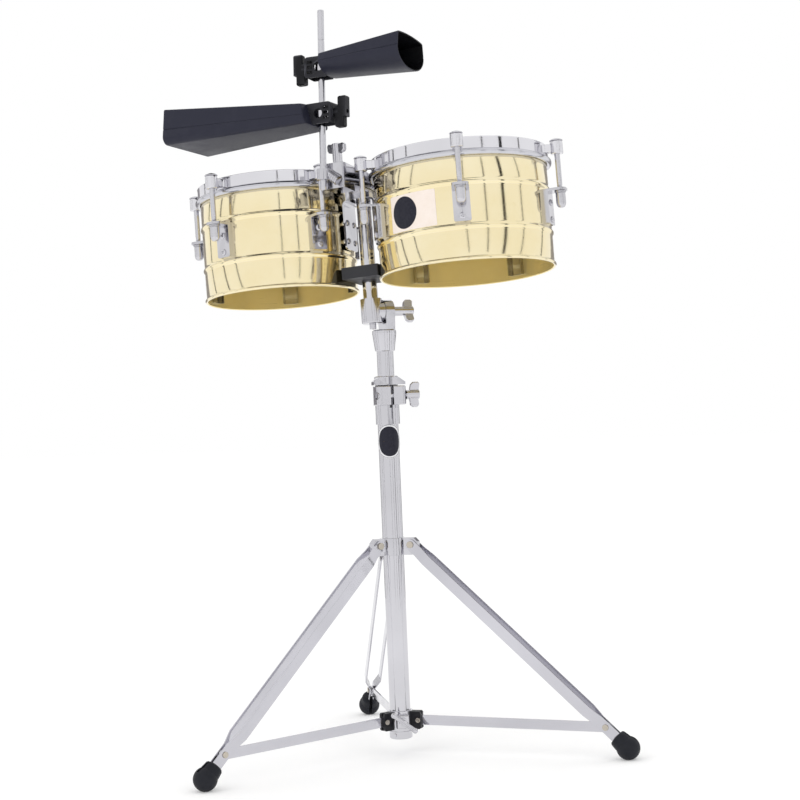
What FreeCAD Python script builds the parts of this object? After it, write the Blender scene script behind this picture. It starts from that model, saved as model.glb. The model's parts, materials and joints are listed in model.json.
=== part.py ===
"""A pair of brass timbales with two cowbells on a folding, tilting chrome stand.

Millimetres, +Z up.  The origin is on the pole's axis at floor level, and +X runs along the drum
line from the small drum to the large one.  -Y is the audience's side.
"""
import FreeCAD, Part
import math
import os

from FreeCAD import Placement, Rotation, Vector

# ---------------------------------------------------------------- driving dimensions
# tubes and running fits
POLE_R = 15.875
POLE_WALL = 1.6
MAST_R = 12.7
POST_R = 11.1
ROD_R = 4.76
FIT = 0.05          # radial clearance of every running fit
GAP = 0.3           # side clearance between pieces that move past each other
SCREW_R = 4.0       # shank of the wing screws, the T bolt and the tuning rods

# pole heights
POLE_BOTTOM = 24.2
POLE_TOP = 525.0
PLUG_R = 17.5
PLUG_BOTTOM = 22.2
PLUG_TOP = 33.6

# tripod: angles are counted from +X
LEG_ANGLES = {"left": 240.0, "right": 0.0, "back": 120.0}
LEG_PIVOT_R = 30.5
LEG_PIVOT_Z = 316.4
FOOT_R = 353.2
FOOT_Z = 16.8
FOOT_BALL_R = 17.5
RIVET_AT = 397.0    # from the leg's pivot to the strut rivet, along the leg
STRAP_WIDTH = 16.0
STRAP_THICK = 2.2
EAR_HALF = 5.7
STRAP_TOP_IN = EAR_HALF + GAP
STRAP_MID_IN = 11.0
STRAP_LOW_IN = 2.5
STRAP_END = 434.0
PIN_R = 3.0
COLLAR_R = 20.0
COLLAR_BOTTOM = 301.0
COLLAR_TOP = 327.0
SPREADER_R = 19.5
SPREADER_PIVOT_R = 31.0
SPREADER_Z = 50.4
SPREADER_HALF = 14.0
CHEEK_IN = 1.6
CHEEK_OUT = 6.6
STRUT_WIDTH = 15.0
STRUT_THICK = 2.6
T_BOLT_ANGLE = -60.0

# height clamp
CLAMP_R = 18.3
CLAMP_BOTTOM = 500.0
CLAMP_JAW_BOTTOM = 529.0
CLAMP_TOP = 558.0
CLAMP_ANGLE = -52.0
CLAMP_BOLT_R = 23.0
CLAMP_BOLT_Z = 543.5
CLAMP_JAW_HALF = 23.0
CLAMP_FRONT = 30.0
RING_HALF = 25.0
RING_TOP = 573.0
MAST_BOTTOM = 300.0
MAST_TOP = 638.0
BADGE_Z = 474.0
BADGE_ANGLE = -65.0

# tilter: the hinge crosses the pole's axis
HINGE_Z = 672.0
HINGE_ANGLE = 45.0
LEAN = -5.0
POST_OFFSET = 19.0
EAR_R = 17.5
EAR_FROM = -2.5
EAR_TO = 12.0
TILT_SCREW_END = -4.5
SOCKET_BOTTOM = 611.0
SOCKET_TOP = 644.0
BARREL_R = 16.4
BARREL_HALF = 19.0
BARREL_FLOOR = 5.0
STUD_R = 5.0

# drums, in the leaning frame whose Z axis is the drum post
DRUM_BASE = 38.0
SHELL_GAP = 28.5
LARGE_R = 130.0
SMALL_R = 117.5
SHELL_T = 1.3
SHELL_H = 163.0
BEADS = (49.0, 113.0)
BEAD_OUT = 2.0
BEAD_HALF = 5.0
RIM_R = 1.6
FILM_T = 0.35
FLESH_BOTTOM = 150.0
FLESH_TOP = 159.5
FLESH_OUT = 7.5
HOOP_IN = 0.5
HOOP_OUT = 3.0
HOOP_TOP = 177.0
LARGE_LUGS = (0.0, 72.0, 144.0, -144.0, -72.0)
SMALL_LUGS = (180.0, 108.0, 36.0, -36.0, -108.0)
TUNE_OUT = 22.0     # tuning rod axis, outside the shell
EAR_CAP_R = 9.3
EAR_CAP_BOTTOM = 158.0
EAR_CAP_TOP = 177.0
LUG_HALF = 12.5
LUG_BOTTOM = 55.0
LUG_TOP = 107.0
LUG_DEPTH = 6.5
LUG_REACH = 31.5
LUG_PLATE = 4.0
LUG_SCREWS = (62.8, 88.0)
LUG_SCREW_R = 2.5
CHANNEL_HALF = 12.0
CHANNEL_DEPTH = 8.2
CHANNEL_BOTTOM = 7.0
CHANNEL_TOP = 110.0
SHEET_T = 2.0
MOUNT_HALF = 22.0
MOUNT_BOTTOM = 59.0
MOUNT_TOP = 133.0
MOUNT_IN = 2.3
MOUNT_OUT = 5.3
MOUNT_REACH = 16.0
MOUNT_SCREWS = (72.0, 100.0)
MOUNT_SCREW_SIDE = 13.0

# centre pieces, in the same leaning frame
BLOCK_BOTTOM = 48.5
BLOCK_TOP = 66.0
BLOCK_HALF = 38.0
YOKE_HALF = 19.5
YOKE_DEPTH = 24.0
YOKE_BOTTOM = DRUM_BASE + MOUNT_TOP
YOKE_TOP = 208.0
ARM_X = 4.0
ARM_HALF = 15.0
ARM_FRONT = -118.0
ARM_SCREW_Y = -100.0
ARM_SCREW_NECK = 11.0
JAW_Z = 190.0
JAW_TURN = 3.53     # stands the cowbell rod upright
JAW_PIN_R = 5.0

# cowbell rod and bells, in the jaw's frame
ROD_X = -12.0
ROD_Y = -12.0
ROD_BOTTOM = -23.0
ROD_TOP = 244.5
ROD_FREE = 45.0     # length above the index groove, for one more clamp
EYE_R = 9.5
EYEBOLT_R = 3.0
BELLS = {
    "small": dict(height=158.0, angle=-3.0, length=133.5, mouth=(94.0, 30.5, -19.5),
                  back=(72.0, 16.5, -15.0), slant=-0.1, belly=0.9, bend=0.5),
    "large": dict(height=89.0, angle=171.5, length=235.0, mouth=(124.0, 31.0, -25.5),
                  back=(68.0, 16.5, -17.0), slant=0.3, belly=0.18, bend=0.2),
}
BELL_START = 10.0
BELL_T = 1.8
BRACKET_REACH = 22.0
BRACKET_HALF = 15.5
BRACKET_SIDE = 12.5
BRACKET_WALL = 2.5
WINDOWS = (-9.5, -2.0, 5.5)
WINDOW_R = 7.0

UP = Vector(0, 0, 1)
AXIS_X = Vector(1, 0, 0)
AXIS_Y = Vector(0, 1, 0)
NODES = {}


# ---------------------------------------------------------------- small helpers
def polar(radius, degrees, height=0.0):
    """A point at a radius and an angle from +X."""
    turn = math.radians(degrees)
    return Vector(radius * math.cos(turn), radius * math.sin(turn), height)


def rod(radius, start, end):
    """A round bar between two points."""
    line = end - start
    return Part.makeCylinder(radius, line.Length, start, line)


def pipe(outer, inner, low, high):
    """An upright round tube on the Z axis."""
    return rod(outer, UP * low, UP * high).cut(rod(inner, UP * (low - 1), UP * (high + 1)))


def block(x_from, x_to, y_from, y_to, z_from, z_to):
    """A box given by its six faces."""
    return Part.makeBox(x_to - x_from, y_to - y_from, z_to - z_from, Vector(x_from, y_from, z_from))


def turned(shape, degrees, centre=Vector(), axis=UP):
    """A copy turned about an axis."""
    copy = shape.copy()
    copy.rotate(centre, axis, degrees)
    return copy


def moved(shape, offset):
    """A copy shifted by a vector."""
    copy = shape.copy()
    copy.translate(offset)
    return copy


def placed(shape, placement):
    """A copy carried into another frame."""
    copy = shape.copy()
    copy.Placement = placement.multiply(copy.Placement)
    return copy


def revolved(points):
    """The outline of (radius, height) points, turned about Z."""
    corners = [Vector(r, 0, z) for r, z in points]
    face = Part.Face(Part.makePolygon(corners + corners[:1]))
    return face.revolve(Vector(), UP, 360)


def plate(points, thickness):
    """A flat outline in the XY plane, extruded to both sides of it."""
    corners = [Vector(x, y, -thickness / 2) for x, y in points]
    face = Part.Face(Part.makePolygon(corners + corners[:1]))
    return face.extrude(UP * thickness)


def slot_bar(length, width, thickness):
    """A flat bar in the XY plane with round ends centred on 0 and on length along X."""
    bar = block(0, length, -width / 2, width / 2, -thickness / 2, thickness / 2)
    for x in (0, length):
        bar = bar.fuse(rod(width / 2, Vector(x, 0, -thickness / 2), Vector(x, 0, thickness / 2)))
    return bar.removeSplitter()


def rounded(shape, radius, choose):
    """Fillet the edges whose middle point passes a test."""
    edges = [e for e in shape.Edges if choose(e.BoundBox.Center, e)]
    return shape.makeFillet(radius, edges) if edges else shape


def upright(edge):
    """True for a straight edge along Z."""
    box = edge.BoundBox
    return box.ZLength > 1 and box.XLength < 0.01 and box.YLength < 0.01


def keep(name, *shapes):
    """Store a node: one solid, or a group of separate ones."""
    NODES[name] = shapes[0] if len(shapes) == 1 else Part.makeCompound(list(shapes))


# ---------------------------------------------------------------- frames
HINGE_AXIS = polar(1, HINGE_ANGLE)
LEANING = Placement(HINGE_AXIS * -POST_OFFSET + UP * HINGE_Z, Rotation(HINGE_AXIS, LEAN))
JAW_PIVOT = Vector(ARM_X, ARM_FRONT, JAW_Z)
JAW_FRAME = LEANING.multiply(Placement(JAW_PIVOT, Rotation(AXIS_Y, JAW_TURN)))
ROD_FOOT = Vector(ROD_X, ROD_Y, 0)


# ---------------------------------------------------------------- screws that are turned by hand
def wing(shank_to, bore=0.0, neck=0.0):
    """A wing screw or nut on the X axis: its face is at 0, wings towards +X, shank towards -X."""
    hub = rod(7.2, Vector(), AXIS_X * (neck + 20))
    lobe = [(5, -6), (6, -17), (8.5, -19.5), (16, -19.5), (18.5, -17), (18, -6)]
    other = [(20, 6), (22.5, 17), (20.5, 19.5), (12, 19.5), (9, 17), (6, 6)]
    head = hub.fuse(plate([(x + neck, y) for x, y in lobe + other], 6.5)).removeSplitter()
    head = rounded(head, 2.0, lambda c, e: abs(c.y) > 14)
    if bore:
        return head.cut(rod(bore, AXIS_X * -1, AXIS_X * (neck + 21)))
    return head.fuse(rod(SCREW_R, AXIS_X * shank_to, AXIS_X)).removeSplitter()


def t_handle(bore):
    """A black two-lobed nut on the X axis, its face at 0, the lobes leaning opposite ways."""
    upper = block(6.5, 21, -6, 6, 2, 23)
    lower = block(3, 17.5, -6, 6, -23, -2)
    bar = upper.fuse(block(3, 21, -6, 6, -8, 8)).fuse(lower).removeSplitter()
    bar = rounded(bar, 3.0, lambda c, e: abs(c.z) > 9 and e.Length > 4)
    hub = rod(6.5, Vector(), AXIS_X * 8)
    return hub.fuse(bar).cut(rod(bore, AXIS_X * -1, AXIS_X * 24)).removeSplitter()


# ---------------------------------------------------------------- tripod
def base_tube():
    return pipe(POLE_R, POLE_R - POLE_WALL, POLE_BOTTOM, POLE_TOP)


def tube_plug():
    """The cup that closes the pole's lower end, with a seat for its screw."""
    cup = revolved([(0, PLUG_BOTTOM), (PLUG_R - 1.5, PLUG_BOTTOM), (PLUG_R, PLUG_BOTTOM + 1.5),
                    (PLUG_R, PLUG_TOP), (POLE_R, PLUG_TOP), (POLE_R, POLE_BOTTOM), (0, POLE_BOTTOM)])
    return cup.cut(plug_screw())


def plug_screw():
    """The small screw in the plug's side, seated on the pole's wall."""
    way = polar(1, T_BOLT_ANGLE - 40)
    height = UP * (PLUG_TOP - 5)
    shank = rod(1.5, way * POLE_R + height, way * PLUG_R + height)
    return shank.fuse(rod(2.6, way * (PLUG_R - 0.2) + height, way * (PLUG_R + 1.2) + height))


def leg_collar():
    """The fixed collar with one solid ear for each leg."""
    collar = pipe(COLLAR_R, POLE_R, COLLAR_BOTTOM, COLLAR_TOP)
    middle = (COLLAR_BOTTOM + COLLAR_TOP) / 2
    half = (COLLAR_TOP - COLLAR_BOTTOM) / 2
    ear = plate([(COLLAR_R - 2, -half), (LEG_PIVOT_R + 2, -half), (LEG_PIVOT_R + 11, -half + 8),
                 (LEG_PIVOT_R + 11, half - 6), (LEG_PIVOT_R + 5, half), (COLLAR_R - 2, half)],
                2 * EAR_HALF)
    ear = moved(turned(ear, 90, axis=AXIS_X), UP * middle)
    for angle in LEG_ANGLES.values():
        collar = collar.fuse(turned(ear, angle))
    collar = collar.removeSplitter()
    for angle in LEG_ANGLES.values():
        collar = collar.cut(turned(cross_pin(LEG_PIVOT_R, LEG_PIVOT_Z, 20, PIN_R), angle))
    return collar


def cross_pin(radius, height, half, thickness):
    """A bare pin across a leg's plane."""
    middle = Vector(radius, 0, height)
    return rod(thickness, middle - AXIS_Y * half, middle + AXIS_Y * half)


def headed_pin(radius, height, inside, head_r, head_t):
    """A rivet across a leg's plane with a low head outside each cheek."""
    pin = cross_pin(radius, height, inside + head_t * 0.5, PIN_R)
    middle = Vector(radius, 0, height)
    for side in (-1, 1):
        near = middle + AXIS_Y * (side * inside)
        far = middle + AXIS_Y * (side * (inside + head_t))
        pin = pin.fuse(rod(head_r, near, far))
    return pin.removeSplitter()


def strap(side):
    """One of a leg's two flat bars, hanging straight down from a pivot at the origin."""
    steps = [(-9.0, STRAP_TOP_IN), (16.0, STRAP_TOP_IN), (34.0, STRAP_MID_IN), (362.0, STRAP_MID_IN),
             (384.0, STRAP_LOW_IN), (STRAP_END, STRAP_LOW_IN)]
    inner = [Vector(0, side * across, -along) for along, across in steps]
    outer = [Vector(0, side * (across + STRAP_THICK), -along) for along, across in reversed(steps)]
    corners = inner + outer
    bent = Part.Face(Part.makePolygon(corners + corners[:1])).extrude(AXIS_X * STRAP_WIDTH)
    bent = moved(bent, AXIS_X * (-STRAP_WIDTH / 2))
    outline = turned(turned(slot_bar(STRAP_END + 10, STRAP_WIDTH, 40), 90, axis=AXIS_Y), 90)
    holes = rod(PIN_R + FIT, AXIS_Y * -20, AXIS_Y * 20)
    holes = holes.fuse(moved(rod(PIN_R, AXIS_Y * -20, AXIS_Y * 20), UP * -RIVET_AT))
    return bent.common(outline).cut(holes)


def strut_rivet(side):
    """A rivet set in one strap, clear of the strut that swings between the straps."""
    inner = Vector(0, side * STRAP_LOW_IN, -RIVET_AT)
    outer = inner + AXIS_Y * (side * STRAP_THICK)
    head = rod(4.6, outer, outer + AXIS_Y * (side * 1.5))
    return rod(PIN_R, inner, outer).fuse(head).removeSplitter()


def foot_blank(reach):
    """A rubber ball with a thick tapered neck, hanging below a pivot at the origin."""
    neck = revolved([(0, -reach), (14.9, -reach + 7.5), (14.6, -reach + 12), (13.4, -reach + 20.5),
                     (11.6, -reach + 22.6), (0, -reach + 25)])
    ball = Part.makeSphere(FOOT_BALL_R, UP * -reach)
    slot = block(-30, 30, -STRAP_LOW_IN, STRAP_LOW_IN, -reach - 1, -reach + 30)
    return ball.fuse(neck).removeSplitter().cut(slot)


def legs():
    """Three legs, each two straps, two rivet halves and a split rubber foot."""
    across = FOOT_R - LEG_PIVOT_R
    down = LEG_PIVOT_Z - FOOT_Z
    spread = math.degrees(math.atan2(across, down))
    pivot = Vector(LEG_PIVOT_R, 0, LEG_PIVOT_Z)
    straps = [strap(side) for side in (-1, 1)]
    rivets = [strut_rivet(side) for side in (-1, 1)]
    foot = foot_blank(math.hypot(across, down))
    for bar in straps:
        foot = foot.cut(bar)
    floor = block(-500, 500, -500, 500, -100, 0)

    def set_out(shape, angle):
        return turned(moved(turned(shape, -spread, axis=AXIS_Y), pivot), angle)

    for name, angle in LEG_ANGLES.items():
        keep("leg_" + name, *[set_out(bar, angle) for bar in straps])
        keep("rivet_" + name, *[set_out(rivet, angle) for rivet in rivets])
        keep("foot_" + name, set_out(foot, angle).cut(floor))
    tip = pivot + Vector(math.sin(math.radians(spread)), 0, -math.cos(math.radians(spread))) * RIVET_AT
    struts(tip)


def struts(tip):
    """Flat bars from the sliding collar to the leg rivets."""
    start = Vector(SPREADER_PIVOT_R, 0, SPREADER_Z)
    line = tip - start
    bar = slot_bar(line.Length, STRUT_WIDTH, STRUT_THICK)
    bar = bar.fuse(rod(9, UP * (-STRUT_THICK / 2), UP * (STRUT_THICK / 2))).removeSplitter()
    for x in (0, line.Length):
        bar = bar.cut(rod(PIN_R + FIT, Vector(x, 0, -9), Vector(x, 0, 9)))
    bar = turned(bar, 90, axis=AXIS_X)
    drop = math.degrees(math.atan2(-line.z, line.x))
    bar = moved(turned(bar, drop, axis=AXIS_Y), start)
    for name, angle in LEG_ANGLES.items():
        keep("strut_" + name, turned(bar, angle))


def spreader():
    """The sliding collar: a plated sleeve with a clamp boss, three black forks, pins and T bolt."""
    low = SPREADER_Z - SPREADER_HALF
    high = SPREADER_Z + SPREADER_HALF
    sleeve = pipe(SPREADER_R, POLE_R + FIT, low, high)
    boss = block(SPREADER_R - 4, 29, -9.5, 9.5, SPREADER_Z - 10, SPREADER_Z + 10)
    boss = rounded(boss, 2.5, lambda c, e: c.x > 28)
    sleeve = sleeve.fuse(turned(boss, T_BOLT_ANGLE)).removeSplitter()
    shank_way = rod(SCREW_R + FIT, Vector(0, 0, SPREADER_Z), Vector(40, 0, SPREADER_Z))
    sleeve = sleeve.cut(turned(shank_way, T_BOLT_ANGLE)).cut(rod(POLE_R + FIT, UP * 0, UP * 100))
    keep("spreader_collar", sleeve)
    far = SPREADER_PIVOT_R + 4.0
    cheek = [(SPREADER_R - 4, -13.5), (far - 2, -13.5), (far, -11.5), (far, 11.5), (far - 2, 13.5),
             (SPREADER_R - 4, 13.5)]
    gap = plate([(x + 6, y * 1.2) for x, y in cheek], 2 * CHEEK_IN)
    fork = moved(turned(plate(cheek, 2 * CHEEK_OUT).cut(gap), 90, axis=AXIS_X), UP * SPREADER_Z)
    fork = fork.cut(rod(SPREADER_R, UP * 0, UP * 100))
    fork = fork.cut(cross_pin(SPREADER_PIVOT_R, SPREADER_Z, 20, PIN_R))
    keep("spreader_forks", *[turned(fork, angle) for angle in LEG_ANGLES.values()])
    pin = headed_pin(SPREADER_PIVOT_R, SPREADER_Z, CHEEK_OUT, 3.8, 1.6)
    keep("spreader_pins", *[turned(pin, angle) for angle in LEG_ANGLES.values()])
    keep("spreader_bolt", turned(t_bolt(), T_BOLT_ANGLE))


def t_bolt():
    """The spreader's clamp bolt with its slanted cross bar."""
    shank = rod(SCREW_R, Vector(POLE_R + FIT + GAP, 0, SPREADER_Z), Vector(42, 0, SPREADER_Z))
    collar = rod(6.5, Vector(29 + GAP, 0, SPREADER_Z), Vector(33, 0, SPREADER_Z))
    bar = rod(3.5, Vector(39, -20, 0), Vector(39, 20, 0))
    for y in (-20, 20):
        bar = bar.fuse(Part.makeSphere(4.3, Vector(39, y, 0)))
    bar = moved(turned(bar, -38, axis=AXIS_X), UP * SPREADER_Z)
    return shank.fuse(collar).fuse(bar).removeSplitter()


def pole_badge():
    """A blank oval plate bent round the pole."""
    skin = pipe(POLE_R + 1.1, POLE_R, BADGE_Z - 30, BADGE_Z + 30)
    oval = Part.Face(Part.Wire(Part.Ellipse(Vector(), 26, POLE_R - 0.2).toShape())).extrude(UP * 30)
    oval = moved(turned(oval, 90, axis=AXIS_Y), UP * BADGE_Z)
    return turned(skin.common(oval), BADGE_ANGLE)


# ---------------------------------------------------------------- height clamp and mast
def height_clamp():
    """The split clamp at the top of the pole: a sleeve with a broad block round the cross bolt."""
    body = rod(CLAMP_R, UP * CLAMP_BOTTOM, UP * CLAMP_TOP)
    low = UP * CLAMP_JAW_BOTTOM
    body = body.fuse(rod(CLAMP_R + 2.5, low, UP * CLAMP_TOP))
    jaws = block(0, CLAMP_FRONT, -CLAMP_JAW_HALF, CLAMP_JAW_HALF, CLAMP_JAW_BOTTOM, CLAMP_TOP)
    jaws = rounded(jaws, 7, lambda c, e: upright(e))
    body = body.fuse(rounded(jaws, 2, lambda c, e: e.BoundBox.ZLength < 0.01)).removeSplitter()
    body = body.cut(rod(POLE_R, UP * 400, UP * POLE_TOP))
    body = body.cut(rod(POLE_R + 0.1, UP * POLE_TOP, UP * 700))
    body = body.cut(block(5, 50, -2.3, 2.3, CLAMP_BOTTOM + 8, 600))
    seat = Vector(CLAMP_BOLT_R, -CLAMP_JAW_HALF, CLAMP_BOLT_Z)
    body = body.cut(clamp_pin(SCREW_R)).cut(rod(6.2, seat - AXIS_Y, seat + AXIS_Y * 5))
    return turned(body, CLAMP_ANGLE)


def clamp_pin(radius):
    """The line of the clamp's cross bolt."""
    middle = Vector(CLAMP_BOLT_R, 0, CLAMP_BOLT_Z)
    return rod(radius, middle - AXIS_Y * 40, middle + AXIS_Y * 40)


def clamp_bush():
    """The nylon bush between the clamp and the mast."""
    bush = pipe(POLE_R + 0.1, MAST_R + FIT, POLE_TOP, CLAMP_TOP)
    lip = pipe(POLE_R + 1.6, MAST_R + FIT, CLAMP_TOP, CLAMP_TOP + 1.5)
    return turned(bush.fuse(lip).removeSplitter().cut(block(5, 50, -1.5, 1.5, 500, 600)), CLAMP_ANGLE)


def clamp_bolt():
    """The cross bolt, its round head sunk in the block's far side."""
    seat = Vector(CLAMP_BOLT_R, 5 - CLAMP_JAW_HALF, CLAMP_BOLT_Z)
    head = rod(5.8, seat - AXIS_Y * 4, seat)
    shank = rod(SCREW_R, seat, seat + AXIS_Y * (2 * CLAMP_JAW_HALF + 10))
    return turned(head.fuse(shank).removeSplitter(), CLAMP_ANGLE)


def clamp_wing_nut():
    face = Vector(CLAMP_BOLT_R, CLAMP_JAW_HALF + GAP, CLAMP_BOLT_Z)
    nut = turned(turned(wing(0, SCREW_R + FIT), 90), 78, axis=AXIS_Y)
    return turned(moved(nut, face), CLAMP_ANGLE)


def memory_ring():
    """The split ring on the mast that keeps its height, with sloping lugs and a screw head."""
    low = CLAMP_TOP + 1.5 + GAP
    ring = revolved([(MAST_R, low), (CLAMP_R - 1, low), (CLAMP_R, low + 1), (CLAMP_R, RING_TOP - 1),
                     (CLAMP_R - 1, RING_TOP), (MAST_R, RING_TOP)])
    slope = [(-RING_HALF, 0), (RING_HALF, 0), (RING_HALF, 4), (15, 11), (-18, 11), (-RING_HALF, 5)]
    lug = turned(turned(plate(slope, 13), 90, axis=AXIS_X), 90)
    lug = moved(lug, Vector(11, 0, low)).cut(rod(MAST_R, UP * 500, UP * 600))
    screw = rod(4.4, Vector(17.5, 5 - RING_HALF, low + 5), Vector(20, 5 - RING_HALF, low + 5))
    ring = ring.fuse(lug).fuse(screw).removeSplitter()
    return turned(ring.cut(block(5, 30, -1.4, 1.4, low - 1, RING_TOP + 1)), CLAMP_ANGLE)


def upper_tube():
    return pipe(MAST_R, MAST_R - POLE_WALL, MAST_BOTTOM, MAST_TOP)


def tilter_socket():
    """The casting on top of the mast: a flared cup and a tangential cheek up to a round ear."""
    cup = revolved([(0, SOCKET_BOTTOM), (14.0, SOCKET_BOTTOM), (15.0, SOCKET_BOTTOM + 1.2),
                    (18.4, SOCKET_TOP - 6), (18.2, SOCKET_TOP - 1.5), (16.5, SOCKET_TOP), (0, SOCKET_TOP)])
    ear = rod(EAR_R, AXIS_X * EAR_FROM + UP * HINGE_Z, AXIS_X * EAR_TO + UP * HINGE_Z)
    web = [(-12.5, SOCKET_TOP - 20), (12.5, SOCKET_TOP - 20), (17.3, HINGE_Z - 2), (-17.3, HINGE_Z - 2)]
    cheek = turned(turned(plate(web, EAR_TO - EAR_FROM), 90, axis=AXIS_X), 90)
    cheek = moved(cheek, AXIS_X * ((EAR_FROM + EAR_TO) / 2))
    body = cup.fuse(ear).fuse(cheek).removeSplitter()
    body = body.cut(rod(MAST_R, UP * (SOCKET_BOTTOM - 1), UP * MAST_TOP))
    bore = rod(SCREW_R + FIT, AXIS_X * (EAR_FROM - 1) + UP * HINGE_Z, AXIS_X * (EAR_TO + 1) + UP * HINGE_Z)
    return turned(body.cut(bore), HINGE_ANGLE)


def tilter_wing_screw():
    """The wing screw on the tilt hinge; its shank ends inside the barrel's boss."""
    screw = turned(wing(TILT_SCREW_END - EAR_TO - GAP, neck=16.0), 62, axis=AXIS_X)
    washer = rod(9.5, AXIS_X * 0, AXIS_X * 1.8)
    screw = moved(screw.fuse(washer).removeSplitter(), AXIS_X * (EAR_TO + GAP) + UP * HINGE_Z)
    return turned(screw, HINGE_ANGLE)


def tilter_barrel():
    """The upper casting: an upright barrel for the drum post with a boss against the ear."""
    barrel = rod(BARREL_R, UP * -BARREL_HALF, UP * BARREL_HALF)
    barrel = rounded(barrel, 3.0, lambda c, e: c.z < 0.1 - BARREL_HALF)
    boss_end = POST_OFFSET + EAR_FROM - GAP
    boss = turned(rod(EAR_R - 1, AXIS_X * 6, AXIS_X * boss_end), HINGE_ANGLE)
    barrel = barrel.fuse(boss).removeSplitter()
    barrel = barrel.cut(rod(POST_R + FIT, UP * (BARREL_FLOOR - BARREL_HALF), UP * 40))
    barrel = barrel.cut(rod(STUD_R + FIT, UP * -30, UP * (BARREL_FLOOR - BARREL_HALF)))
    blind = turned(rod(SCREW_R + FIT, AXIS_X * 14, AXIS_X * 30), HINGE_ANGLE)
    return placed(barrel.cut(blind), LEANING)


def tilt_stop_screw():
    """The threaded stud in the barrel's floor."""
    stud = rod(STUD_R, UP * -(BARREL_HALF + 8), UP * (BARREL_FLOOR - BARREL_HALF))
    return placed(stud, LEANING)


# ---------------------------------------------------------------- drums
def shell(radius):
    """A beaded brass cylinder with a rolled lower edge, open at both ends."""
    inner = radius - SHELL_T
    outer_side = [Part.makeLine(Vector(radius, 0, 0), Vector(radius, 0, BEADS[0] - BEAD_HALF))]
    inner_side = []
    for index, bead in enumerate(BEADS):
        outer_side.append(bead_arc(radius, bead, BEAD_HALF))
        inner_side.append(bead_arc(inner, bead, BEAD_HALF - 1))
        above = BEADS[index + 1] - BEAD_HALF if index + 1 < len(BEADS) else SHELL_H
        outer_side.append(Part.makeLine(Vector(radius, 0, bead + BEAD_HALF), Vector(radius, 0, above)))
        inner_above = above + 1 if index + 1 < len(BEADS) else SHELL_H
        inner_side.append(Part.makeLine(Vector(inner, 0, bead + BEAD_HALF - 1), Vector(inner, 0, inner_above)))
    inner_side.insert(0, Part.makeLine(Vector(inner, 0, 0), Vector(inner, 0, BEADS[0] - BEAD_HALF + 1)))
    caps = [Part.makeLine(Vector(inner, 0, 0), Vector(radius, 0, 0)),
            Part.makeLine(Vector(inner, 0, SHELL_H), Vector(radius, 0, SHELL_H))]
    outline = Part.Wire(Part.__sortEdges__(outer_side + inner_side + caps))
    wall = Part.Face(outline).revolve(Vector(), UP, 360)
    rim = Part.makeTorus(radius, RIM_R, UP * RIM_R)
    return wall.fuse(rim).removeSplitter()


def bead_arc(radius, height, half):
    """One bead's bulge in the shell's outline."""
    return Part.Arc(Vector(radius, 0, height - half), Vector(radius + BEAD_OUT, 0, height),
                    Vector(radius, 0, height + half)).toShape()


def head(radius):
    """The drum head: a flat film with a short collar that ends in the flesh hoop."""
    edge = radius + FILM_T
    return revolved([(0, SHELL_H), (radius, SHELL_H), (radius, FLESH_BOTTOM + 3), (edge, FLESH_BOTTOM + 3),
                     (edge, SHELL_H + FILM_T), (0, SHELL_H + FILM_T)])


def flesh_hoop(radius):
    """The rounded metal ring that carries the film's edge."""
    inner = radius + FILM_T
    outer = radius + FLESH_OUT
    ring = revolved([(inner, FLESH_BOTTOM), (outer, FLESH_BOTTOM), (outer, FLESH_TOP), (inner, FLESH_TOP)])
    return rounded(ring, 3.2, lambda c, e: e.BoundBox.XLength > 2 * outer - 1)


def counterhoop(radius, angles):
    """The flat tuning hoop with a round ear for each tuning rod."""
    hoop = revolved([(radius + HOOP_IN, FLESH_TOP), (radius + HOOP_OUT, FLESH_TOP),
                     (radius + HOOP_OUT, HOOP_TOP),
                     (radius + HOOP_IN, HOOP_TOP)])
    axis = AXIS_X * (radius + TUNE_OUT)
    ear = rod(EAR_CAP_R, axis + UP * EAR_CAP_BOTTOM, axis + UP * EAR_CAP_TOP)
    neck = block(radius + HOOP_IN + 1, radius + TUNE_OUT - 4, -6, 6, EAR_CAP_BOTTOM + 4, EAR_CAP_TOP - 4)
    ear = ear.fuse(neck).cut(rod(SCREW_R, axis, axis + UP * 300))
    for angle in angles:
        hoop = hoop.fuse(turned(ear, angle))
    return hoop.removeSplitter()


def lug_bracket(radius):
    """A pressed bracket on the shell with a flange for the tuning rod."""
    face = radius + LUG_DEPTH
    body = block(radius - 1, face, -LUG_HALF, LUG_HALF, LUG_BOTTOM, LUG_TOP)
    flange = block(radius - 1, radius + LUG_REACH, -LUG_HALF, LUG_HALF, LUG_TOP - LUG_PLATE, LUG_TOP)
    flange = rounded(flange, 9, lambda c, e: upright(e) and c.x > radius + 5)
    body = rounded(body, 3, lambda c, e: abs(c.z - LUG_BOTTOM) < 0.1 and e.BoundBox.XLength > 3)
    inside = block(radius - 2, face - LUG_PLATE, -LUG_HALF + SHEET_T, LUG_HALF - SHEET_T, LUG_BOTTOM + SHEET_T,
                   LUG_TOP - LUG_PLATE)
    bracket = body.fuse(flange).removeSplitter().cut(inside).cut(rod(radius, UP * 0, UP * 200))
    axis = AXIS_X * (radius + TUNE_OUT)
    bracket = bracket.cut(rod(SCREW_R, axis, axis + UP * 300))
    for height in LUG_SCREWS:
        bracket = bracket.cut(radial_shank(radius, height, 0))
    return bracket


def radial_shank(radius, height, side, outer=LUG_DEPTH):
    """The shank of a screw that points at the drum's axis."""
    inside = radius - SHELL_T - SHEET_T - 1.5
    return rod(LUG_SCREW_R, Vector(inside, side, height), Vector(radius + outer, side, height))


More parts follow.
